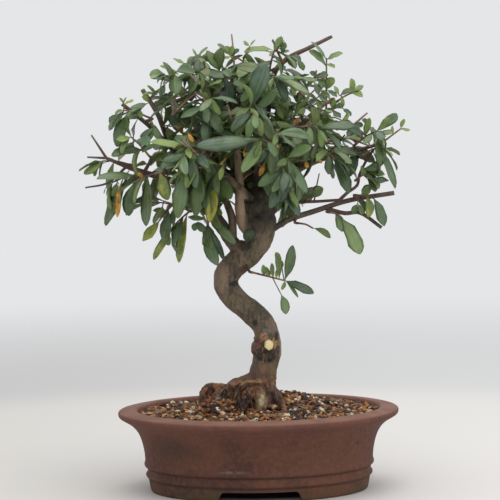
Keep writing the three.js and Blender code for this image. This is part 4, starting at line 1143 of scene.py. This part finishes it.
# up to this width a leaf at the crown's edge is fresh, up to these lengths one is light or may be gold
FRESH_WIDTH = 4.1
YOUNG_LENGTH = 20
GOLD_LENGTH = 17
YOUTH_OF_SMALL = 0.8
LATE_AGE = 0.88
STALK_SHARE = 0.8
EDGE_SHOOTS = [
    # shoots at the crown's edge that are too fine for the solids: tip, then each leaf's tip and width
    ((-57, -14, 287), (-74.5, -17, 289, 5), (-60, -18, 281, 4)),
    ((-54, -14, 290), (-68, -16, 297.6, 3.2), (-63, -18, 290, 3.4)),
    ((-50, -13, 298), (-59, -14, 302.6, 3), (-45, -15, 304, 2.6)),
    ((-42, -14, 303), (-35, -15, 310.5, 2.4), (-45.6, -15, 309.5, 1.8), (-37, -16, 299, 3.6)),
    ((-19.4, -16, 304.5), (-28.4, -18, 312.6, 4.6), (-13, -18, 309, 3), (-24, -20, 302, 3.4)),
    ((-6, -15, 311), (-10.4, -16, 314.6, 3), (-2, -16, 315.5, 1.8)),
    ((13.4, -9, 309), (16.6, -10, 317.4, 3.6), (20, -11, 311, 2.6), (8.8, -10, 315, 1.6)),
    ((21, -12, 304), (29, -16, 300, 5), (24, -16, 296, 4)),
    ((40, -18, 289), (48, -20, 291, 6), (35, -20, 293, 4.4), (44, -22, 282, 4.6)),
    ((56, -14, 277), (66, -16, 281, 4.6), (52, -16, 284, 4)),
    ((-70, -18, 278), (-77, -20, 284, 3), (-64, -20, 284, 4), (-80, -20, 278, 2.4)),
    ((-93, -16, 271), (-96, -17, 275.6, 1.6), (-91, -18, 276, 1.4), (-86, -18, 274, 2.6)),
    ((-84, -24, 268), (-92, -26, 262, 3.6), (-80, -26, 262, 4)),
    ((-8.4, -10, 173.8), (-3.8, -14, 184, 6.6)),
    ((27, -10, 302), (31.1, -12, 294.3, 5), (22.7, -12, 297.1, 4)),
    ((47.1, -16, 281), (51.9, -18, 289.4, 6.4), (54, -18, 276.1, 4.4), (42.8, -18, 285.9, 4)),
    ((40, -20, 275.4), (49, -22, 277.5, 4.6), (30.9, -22, 278.2, 4.8), (33.7, -22, 270.6, 4.4),
     (42.7, -22, 267.8, 4.6)),
    ((50.6, -16, 267.8), (58.2, -18, 271.3, 4.6), (56.8, -18, 261.5, 5), (44.9, -18, 262.9, 4.6),
     (52.6, -18, 274.7, 4)),
    ((57.5, -18, 260.1), (64.3, -20, 255.3, 4.8), (62.9, -20, 264.3, 3.6), (53.2, -20, 253.2, 5)),
    ((-75.5, -20, 272), (-88.6, -22, 267.8, 5.2), (-80.2, -22, 276.8, 3.6)),
    ((-71.8, -24, 255.4), (-81.4, -26, 248.5, 4.6), (-76.5, -26, 245, 5), (-67.5, -26, 247.1, 5)),
    ((-70.3, -26, 244.3), (-79.9, -28, 238.1, 5)),
    ((72.1, -18, 226), (85.9, -20, 230.2, 7), (87.3, -20, 222.6, 7.6), (83.8, -20, 214.2, 6.6)),
    ((68.1, -14, 205.6), (76.4, -16, 196.6, 5)),
    ((-35.6, -28, 192.5), (-48.7, -30, 194, 4)),
    ((-67, -22, 276.2), (-64.2, -24, 283.1, 4.6), (-73.2, -24, 274.1, 4.6), (-60.7, -24, 276.2, 4.2)),
    ((-19.1, -20, 303.3), (-23.3, -22, 310.9, 4.4), (-13.5, -22, 308.8, 4.4), (-17.7, -22, 311.6, 3.6)),
    ((15.7, -12, 306.2), (18.5, -14, 313.8, 4.4), (21.3, -14, 307.5, 4.2)),
    ((41.3, -22, 276.8), (38.5, -24, 283.8, 5), (46.8, -24, 272.7, 4.8)),
    ((58.2, -16, 268.4), (56.8, -18, 275.4, 4.8), (63.7, -18, 262.9, 4.8)),
    ((66.5, -18, 254.5), (60.9, -20, 249.7, 5), (72, -20, 257.4, 4.8), (69.2, -20, 248.3, 5)),
    ((76.3, -18, 255.9), (71.3, -20, 260.8, 4.4), (80.3, -20, 251.1, 4.4)),
    ((74.7, -22, 219.9), (80.8, -24, 211, 6), (89.8, -24, 218.6, 5.4), (70.4, -24, 229, 5)),
    ((68.6, -18, 202.3), (72, -20, 194.8, 5), (65, -20, 195.5, 4.4)),
    ((-65.8, -34, 201.8), (-67.8, -36, 193.7, 5), (-71.9, -36, 189.5, 5)),
    ((-41.8, -30, 190.5), (-37.6, -32, 183.8, 5), (-44.5, -32, 184.5, 4.6)),
    ((-96.9, -32, 218.3), (-100.2, -34, 208, 5)),
]
BARE_TWIGS = [
    # twigs cut short or gone bare among the leaves, root and tip
    ((-42.5, -30, 285.7), (-50.4, -31, 296.6)), ((-59, -33, 264.1), (-56.1, -33, 282.8)),
    ((-35.7, -42, 272), (-40, -42, 281.4)), ((15.6, -11, 302), (9.8, -12, 315.6)),
    ((38.4, -18, 287.3), (39.9, -18, 294.6)), ((64.7, -22, 256.5), (74.9, -22, 265.3)),
    ((63.1, -24, 247.8), (77.7, -24, 242)), ((-41.2, -54, 237.1), (-52.7, -55, 248.5)),
    ((-18.3, -53, 261.3), (-21.2, -54, 271.4)), ((30.7, -38, 277.1), (36.5, -39, 267)),
    ((-36.4, -16, 294.6), (-37.9, -17, 300.5)), ((20, -48, 250), (26, -50, 260)),
]
WITHERED = [
    # dead leaves still on the tree: root, tip, width
    ((-95.6, -36, 217), (-96.6, -38, 194.2), 4.2), ((-83.2, -26, 225.1), (-79.4, -28, 220.6), 3),
    ((-47.6, -52, 252), (-44.3, -54, 246), 3), ((-7.4, -52, 244.6), (-9.8, -54, 236), 4),
    ((2.4, -52, 245), (1.7, -54, 238.4), 2.6), ((12.2, -54, 244.6), (12.8, -56, 239.4), 2.6),
    ((3.7, -52, 232.6), (0.2, -54, 223), 3.4), ((23, -54, 248.7), (23.6, -56, 245.6), 2.2),
    ((41, -50, 235.5), (42, -52, 231.4), 2.6), ((31.4, -52, 233.1), (32.8, -54, 228.5), 3.2),
    ((-57, -24, 284.5), (-55.6, -26, 276.2), 2.4), ((4, -50, 262), (2, -52, 257), 2.4),
    ((-26, -52, 247), (-27, -54, 242), 2.2),
]
INNER_SHOOTS = 8
INNER_LENGTHS = (12, 14)
INNER_RADII = [0.8, 0.7, 0.55]
INNER_DROOP = 0.35
INNER_REACH = 0.9
INNER_GOLD = 0.2
# painted fill light: leaves of the inner foliage, which lie in shade, are painted paler by this share
INNER_FILL_LIGHT = 0.15
BARE_PART = 0.3
LEAF_PAIR_EVERY = 9
WINDOWS = [
    # gaps in the crown, lowest and highest corner: in front of the head, at the right and at the lower left
    ((-20, -90, 186), (5, -4, 236)), ((31, -90, 211), (55, 60, 231)), ((-73, -90, 175), (-60, 60, 222)),
]


def seen_past(leaf):
    """A leaf, or nothing where it would close a gap in the crown."""
    for along in (0, 0.5, 1):
        point = on_leaf(leaf, 0, along, 0)
        for corners in WINDOWS:
            if all(low < value < high for low, value, high in zip(corners[0], point, corners[1])):
                return None
    return leaf


def dress(name, parts, leaves, look, gold_share=0, shade=0):
    """Makes a piece of foliage: its stems in one sweep, and a leaf model bent to each leaf."""
    limbs = [(part["rings"], [STALK_SHARE * radius for radius in part["radii"]]) for part in parts]
    shoots = sweep(name, limbs, 1)
    twig_skin.cover(shoots)
    pieces = [shoots]
    for leaf in leaves:
        model = leaf_models[int(next(look) * len(leaf_models))]
        tone, age, chance = next(look), next(look), next(look)
        if not leaf:
            continue
        small = max(0, 1 - leaf["length"] / YOUNG_LENGTH)
        late = 0.45 if age > LATE_AGE else 0.1
        gold = chance < gold_share and leaf["length"] < GOLD_LENGTH
        # the shade share, given to the inner foliage, is painted fill light that makes leaves in shade paler
        values = {
            "tint": leaf.get("tone", tone),
            "youth_and_fill_light": YOUTH_OF_SMALL * small * leaf.get("fresh", 1) + late * age + shade,
            "yellowing": leaf.get("turning", 0.6 + 0.4 * tone if gold else 0),
        }
        pieces.append(leaf_copy(leaf, model, values))
    blade.cover(*pieces[1:])
    foliage = join(name, pieces)
    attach(foliage, "root")
    return foliage


for number, spray in enumerate(sprays, 1):
    node = f"leafy_stem_{number:02d}"
    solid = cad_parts[node].data
    corners = KDTree(len(solid.vertices))
    for vertex in solid.vertices:
        corners.insert(vertex.co, vertex.index)
    corners.balance()
    main = spray["stems"][0]
    leaves = [as_kept(placed_leaf(main, *values), corners) for values in spray["placed"]]
    for i, leaf in enumerate(leaves):
        if leaf and (number, i) in TURNING_LEAVES:
            leaf["turning"] = TURNING_LEAVES[number, i]
        if leaf and (number, i) in LEAF_TONES:
            leaf["tone"] = LEAF_TONES[number, i]
    for part in spray["stems"]:
        for leaf in grown_leaves(spray, part, part is main):
            leaves.append(seen_past(leaf) if leaf["length"] < KEPT_LENGTH else as_kept(leaf, corners))
    parts = list(spray["stems"])
    if number == LOW_SHOOT:
        leaves[HANGING_LEAF] = None
        for root, tip in LOW_SHOOT_TWIGS:
            parts.append(stem(Vector(root), Vector(tip), 0, [0.6, 0.5, 0.45]))
        for root, tip, width in LOW_SHOOT_LEAVES:
            leaves.append(leaf_to(Vector(root), UP, Vector(tip), width))
    elif spray["pairs"]:
        twig = spray["twig"]
        length = (twig["rings"][2] - twig["rings"][0]).length
        pairs = max(1, round(length / LEAF_PAIR_EVERY))
        along_twig = {**spray, "pairs": pairs, "draw": stream(300 + number)}
        leaves += [seen_past(leaf) for leaf in grown_leaves(along_twig, twig, True)[:-3]]
    foliage = dress(f"foliage_{number:02d}", parts, leaves, stream(500 + number))
    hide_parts(node)

for number, (points, radii) in enumerate(BRANCHES, 1):
    points = [Vector(point) for point in points]
    draw = stream(700 + number)
    turn = 2 * math.pi * next(draw)
    parts, leaves = [], []
    for i in range(INNER_SHOOTS):
        t = BARE_PART + (1 - BARE_PART) * (i + next(draw)) / INNER_SHOOTS
        root = curve_point(points, t)
        along = (curve_point(points, t + 0.01) - curve_point(points, t - 0.01)).normalized()
        direction = outwards(along, turn + i * GOLDEN_ANGLE) + 0.4 * along + 0.3 * UP
        tip = root + direction.normalized() * between(draw, *INNER_LENGTHS)
        out = tip - CROWN
        if out.length > INNER_REACH * reach(out.normalized()):
            continue
        shoot = {"draw": draw, "pairs": 3, "droop": INNER_DROOP}
        part = stem(root, tip, 1, INNER_RADII)
        parts.append(part)
        leaves += [seen_past(leaf) for leaf in grown_leaves(shoot, part, True)]
    if parts:
        look = stream(600 + number)
        dress(f"inner_foliage_{number:02d}", parts, leaves, look, INNER_GOLD, INNER_FILL_LIGHT)
joints = [bud[0] for bud in buds]
joints += [on_stem(part, i / 8) for spray in sprays for part in spray["stems"] for i in range(9)]


def from_wood(tip, bow, radii):
    """A shoot to a point, from the nearest place on the wood and the stems."""
    return stem(min(joints, key=lambda joint: (joint - tip).length), tip, bow, radii)


parts, leaves = [], []
for tip, *ends in EDGE_SHOOTS:
    tip = Vector(tip)
    parts.append(from_wood(tip, 1, [0.75, 0.65, 0.5]))
    for *end, width in ends:
        leaves.append({**leaf_to(tip, UP, Vector(end), width), "fresh": width < FRESH_WIDTH})
for root, tip in BARE_TWIGS:
    parts.append(from_wood(Vector(root), 0.5, [1, 1, 1]))
    parts.append(stem(Vector(root), Vector(tip), 0, [1, 0.95, 0.85]))
for root, tip, width in WITHERED:
    root = Vector(root)
    parts.append(from_wood(root, 0.5, [0.5, 0.45, 0.4]))
    leaves.append({**leaf_to(root, UP, Vector(tip), width), "turning": 1})
dress("edge_foliage", parts, leaves, stream(650))
for model in leaf_models:
    bpy.data.objects.remove(model)

# The soil: bark chips, grit and perlite. A dark bed fills the pot, mounded to the trunk, and the chips
# that show are strewn over it one by one, flat side down, so that they overlap.

SOIL_CHIPS = 3300
MOUND_CHIPS = 330
SOIL_HALF_LENGTH = 84.5
SOIL_VOXEL = 1.3
LOWEST_CHIP = 48
ROOT_CLEARANCE = 0.6
CHIP_TILT = 0.9
CHIP_LIFT = (0.1, 1.3)
CHIP_GROWTH = (0.65, 0.8)
JOIN_AT_ONCE = 200
MOUNDS = [((-28, -20, 50), (15, 12, 17)), ((23, -10, 50), (10, 10, 12.5))]
CHIP_KINDS = [
    # share, length by width by thickness, roughness of the shape, and shade: 0 for bark to 1 for perlite
    (0.34, (6.2, 3.5, 2), 0.38, (0, 0.34)), (0.27, (4.6, 3.4, 2.3), 0.32, (0.3, 0.6)),
    (0.17, (3.8, 3, 2.5), 0.28, (0.55, 0.85)), (0.14, (4.8, 2.6, 1.7), 0.32, (0.12, 0.3)),
    (0.08, (4.2, 3.4, 2.9), 0.22, (0.86, 1)),
]

bed = copy_of(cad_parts["soil"])
bed.name = bed.data.name = "soil_bed"
bed.parent = None
for key in list(bed.keys()):
    del bed[key]
edit(bed)
bpy.ops.mesh.select_all(action="SELECT")
bpy.ops.mesh.remove_doubles(threshold=1e-6)
done()
heaps = []
for centre, half_sizes in MOUNDS:
    bpy.ops.mesh.primitive_ico_sphere_add(subdivisions=4, radius=MM, location=place(*centre))
    heap = added("heap")
    heap.scale = half_sizes
    settle(heap)
    heaps.append(heap)
bed = join("soil_bed", [bed, *heaps])
modify(bed, "REMESH", mode="VOXEL", voxel_size=SOIL_VOXEL * MM)
modify(bed, "SMOOTH", factor=0.5, iterations=6)
smooth(bed, 180)

chip_models = []
for i, (share, size, roughness, shades) in enumerate(CHIP_KINDS):
    deselect()
    bpy.ops.mesh.primitive_ico_sphere_add(subdivisions=1, radius=0.5, location=(0, 0, 0))
    chip = added(f"chip_model_{i}")
    edit(chip)
    bpy.ops.mesh.select_all(action="SELECT")
    bpy.ops.transform.vertex_random(offset=roughness * 0.5, seed=i + 1)
    bpy.ops.transform.resize(value=[side * MM for side in size], center_override=(0, 0, 0))
    done()
    chip.hide_render = True
    chip_models.append(chip)

bed_tree = BVHTree.FromObject(bed, bpy.context.evaluated_depsgraph_get())
draw = stream(900)
chips = []
for i in range(SOIL_CHIPS + MOUND_CHIPS):
    angle = 2 * math.pi * next(draw)
    out = math.sqrt(next(draw))
    chance, spin, tilt, tip_over, size, shade, lift = (next(draw) for _ in range(7))
    x = SOIL_HALF_LENGTH * out * math.cos(angle)
    y = (SOIL_HALF_LENGTH - POT_INSET) * out * math.sin(angle)
    if i >= SOIL_CHIPS:
        centre, half_sizes = MOUNDS[0 if i % 3 < 2 else 1]
        x = centre[0] + half_sizes[0] * out * math.cos(angle)
        y = centre[1] + half_sizes[1] * out * math.sin(angle)
    ground = bed_tree.ray_cast(place(x, y, 100), Vector((0, 0, -1)))[0]
    if ground is None or ground.z < LOWEST_CHIP * MM:
        continue
    near, facing = wood_tree.find_nearest(ground)[:2]
    if (ground - near).dot(facing) < ROOT_CLEARANCE * MM:
        continue
    kind = 0
    while chance > CHIP_KINDS[kind][0] and kind < len(CHIP_KINDS) - 1:
        chance -= CHIP_KINDS[kind][0]
        kind += 1
    low, high = CHIP_KINDS[kind][3]
    chip = copy_of(chip_models[kind])
    turn = Quaternion((0, 0, 1), 2 * math.pi * spin)
    turn = Quaternion((math.cos(9 * tilt), math.sin(9 * tilt), 0), CHIP_TILT * tip_over) @ turn
    grow = CHIP_GROWTH[0] + CHIP_GROWTH[1] * size * size
    middle = ground + (CHIP_LIFT[0] + CHIP_LIFT[1] * lift) * MM * UP
    for vertex in chip.data.vertices:
        vertex.co = middle + turn @ (vertex.co * grow)
    put_mark(chip, "shade", low + (high - low) * shade)
    chips.append(chip)
starts = range(0, len(chips), JOIN_AT_ONCE)
groups = [join("chips", chips[i:i + JOIN_AT_ONCE]) for i in starts]
chips = join("soil_chips", groups)
for model in chip_models:
    bpy.data.objects.remove(model)

litter = Finish("chips")
shade = litter.mark("shade")
litter.base = colour("2a1b16")
CHIP_COLOURS = [
    (0.06, "3b251a"), (0.12, "7d4a28"), (0.2, "a0662f"), (0.28, "4b3427"), (0.36, "946c46"), (0.46, "bb966a"),
    (0.55, "3a2a21"), (0.62, "7d6c5e"), (0.7, "4a3e38"), (0.8, "251d1b"), (0.88, "ccb692"), (0.95, "e2d8c4"),
]
for start, code in CHIP_COLOURS:
    litter.paint(shade.above(start - 0.02, start + 0.02), code)
grime = litter.noise(1.4).above(0.45, 0.7)
litter.paint(grime * 0.45, "33231b")
litter.set(Base_Color=litter.base, Roughness=0.85)
litter.bump(litter.noise(0.7), 0.3)
litter.cover(chips)

loam = Finish("soil")
loam.set(Base_Color=loam.mix(loam.noise(2).above(0.4, 0.65), "1e1410", "4a3020"), Roughness=0.95)
loam.bump(loam.noise(1.6, 4), 1.2)
bed.data.materials.clear()
loam.cover(bed)
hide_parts("soil")
for piece in (bed, chips):
    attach(piece, "root")

# The studio: a pale floor that fades into a pale grey room, even light from all round, a wide soft light
# above and one at the right, and a camera a metre and a half in front, level with the upper crown. The
# floor carries painted shade, darker to the left and further out, and a painted shadow under the pot.

CAMERA_DISTANCE = 1500
CAMERA_X = -3.9
CAMERA_HEIGHT = 283.2
CAMERA_AIM = 169
CAMERA_ROLL = -1
FOCAL_PIXELS = 2143
PICTURE_PIXELS = 500
LIGHT_AIM = 150
FLOOR_RADIUS = 1.6
ROOM = colour("e5e6e8")
LIGHTS = [
    # name, place and size in metres, and power
    ("sky", (0.1, -0.2, 1.4), 1.4, 14), ("window", (1.3, -1.2, 0.9), 1.2, 6),
]

camera_data = bpy.data.cameras.new("camera")
camera = in_scene(bpy.data.objects.new("camera", camera_data))
camera_data.sensor_width = 36
camera_data.lens = camera_data.sensor_width * FOCAL_PIXELS / PICTURE_PIXELS
camera_data.clip_start = 0.1
camera.location = place(CAMERA_X, -CAMERA_DISTANCE, CAMERA_HEIGHT)
camera.rotation_mode = "QUATERNION"
aim = (place(CAMERA_X, 0, CAMERA_AIM) - camera.location).to_track_quat("-Z", "Y")
camera.rotation_quaternion = aim @ Quaternion((0, 0, 1), math.radians(CAMERA_ROLL))
bpy.context.scene.camera = camera

deselect()
bpy.ops.mesh.primitive_circle_add(
    vertices=96, radius=FLOOR_RADIUS, fill_type="TRIFAN", location=place(0, 0, 0)
)
floor = added("floor")
paper = Finish("floor")
outer = paper.length(paper.where())
x, _, _ = paper.axes(paper.where())
# painted shade: the floor is darker to the left and darker further out from the pot
near_sheet_painted_shade = paper.mix(x.above(-0.25, 0.25), "c6c3be", "d0cdca")
far_sheet_painted_shade = paper.mix(x.above(-0.25, 0.25), "b8b7b6", "c5c5c4")
paper.base = paper.mix(outer.above(0.42, 0.56), near_sheet_painted_shade, far_sheet_painted_shade)
# a painted shadow: the floor under the pot is painted nearly black
paper.paint(paper.near((0, 0, 0), 66, 46, 20).above(0, 0.2), "161616")
paper.set(Base_Color=paper.base, Roughness=0.9)
clear = paper.node("BsdfTransparent", {})
shown = paper.node("MixShader", {}, outer.above(0.5, 1.45), Wire(paper, paper.shader.outputs[0]), clear)
paper.tree.links.new(shown.socket, paper.tree.nodes["Material Output"].inputs["Surface"])
paper.cover(floor)

room = bpy.data.worlds.new("room")
bpy.context.scene.world = room
room.use_nodes = True
room.node_tree.nodes["Background"].inputs["Color"].default_value = ROOM
room.node_tree.nodes["Background"].inputs["Strength"].default_value = 1

for name, position, size, power in LIGHTS:
    light_data = bpy.data.lights.new(name, "AREA")
    light_data.size = size
    light_data.energy = power
    light = in_scene(bpy.data.objects.new(name, light_data))
    light.location = position
    light.rotation_mode = "QUATERNION"
    light.rotation_quaternion = (place(0, 0, LIGHT_AIM) - light.location).to_track_quat("-Z", "Y")

bpy.context.scene.view_settings.view_transform = "Standard"
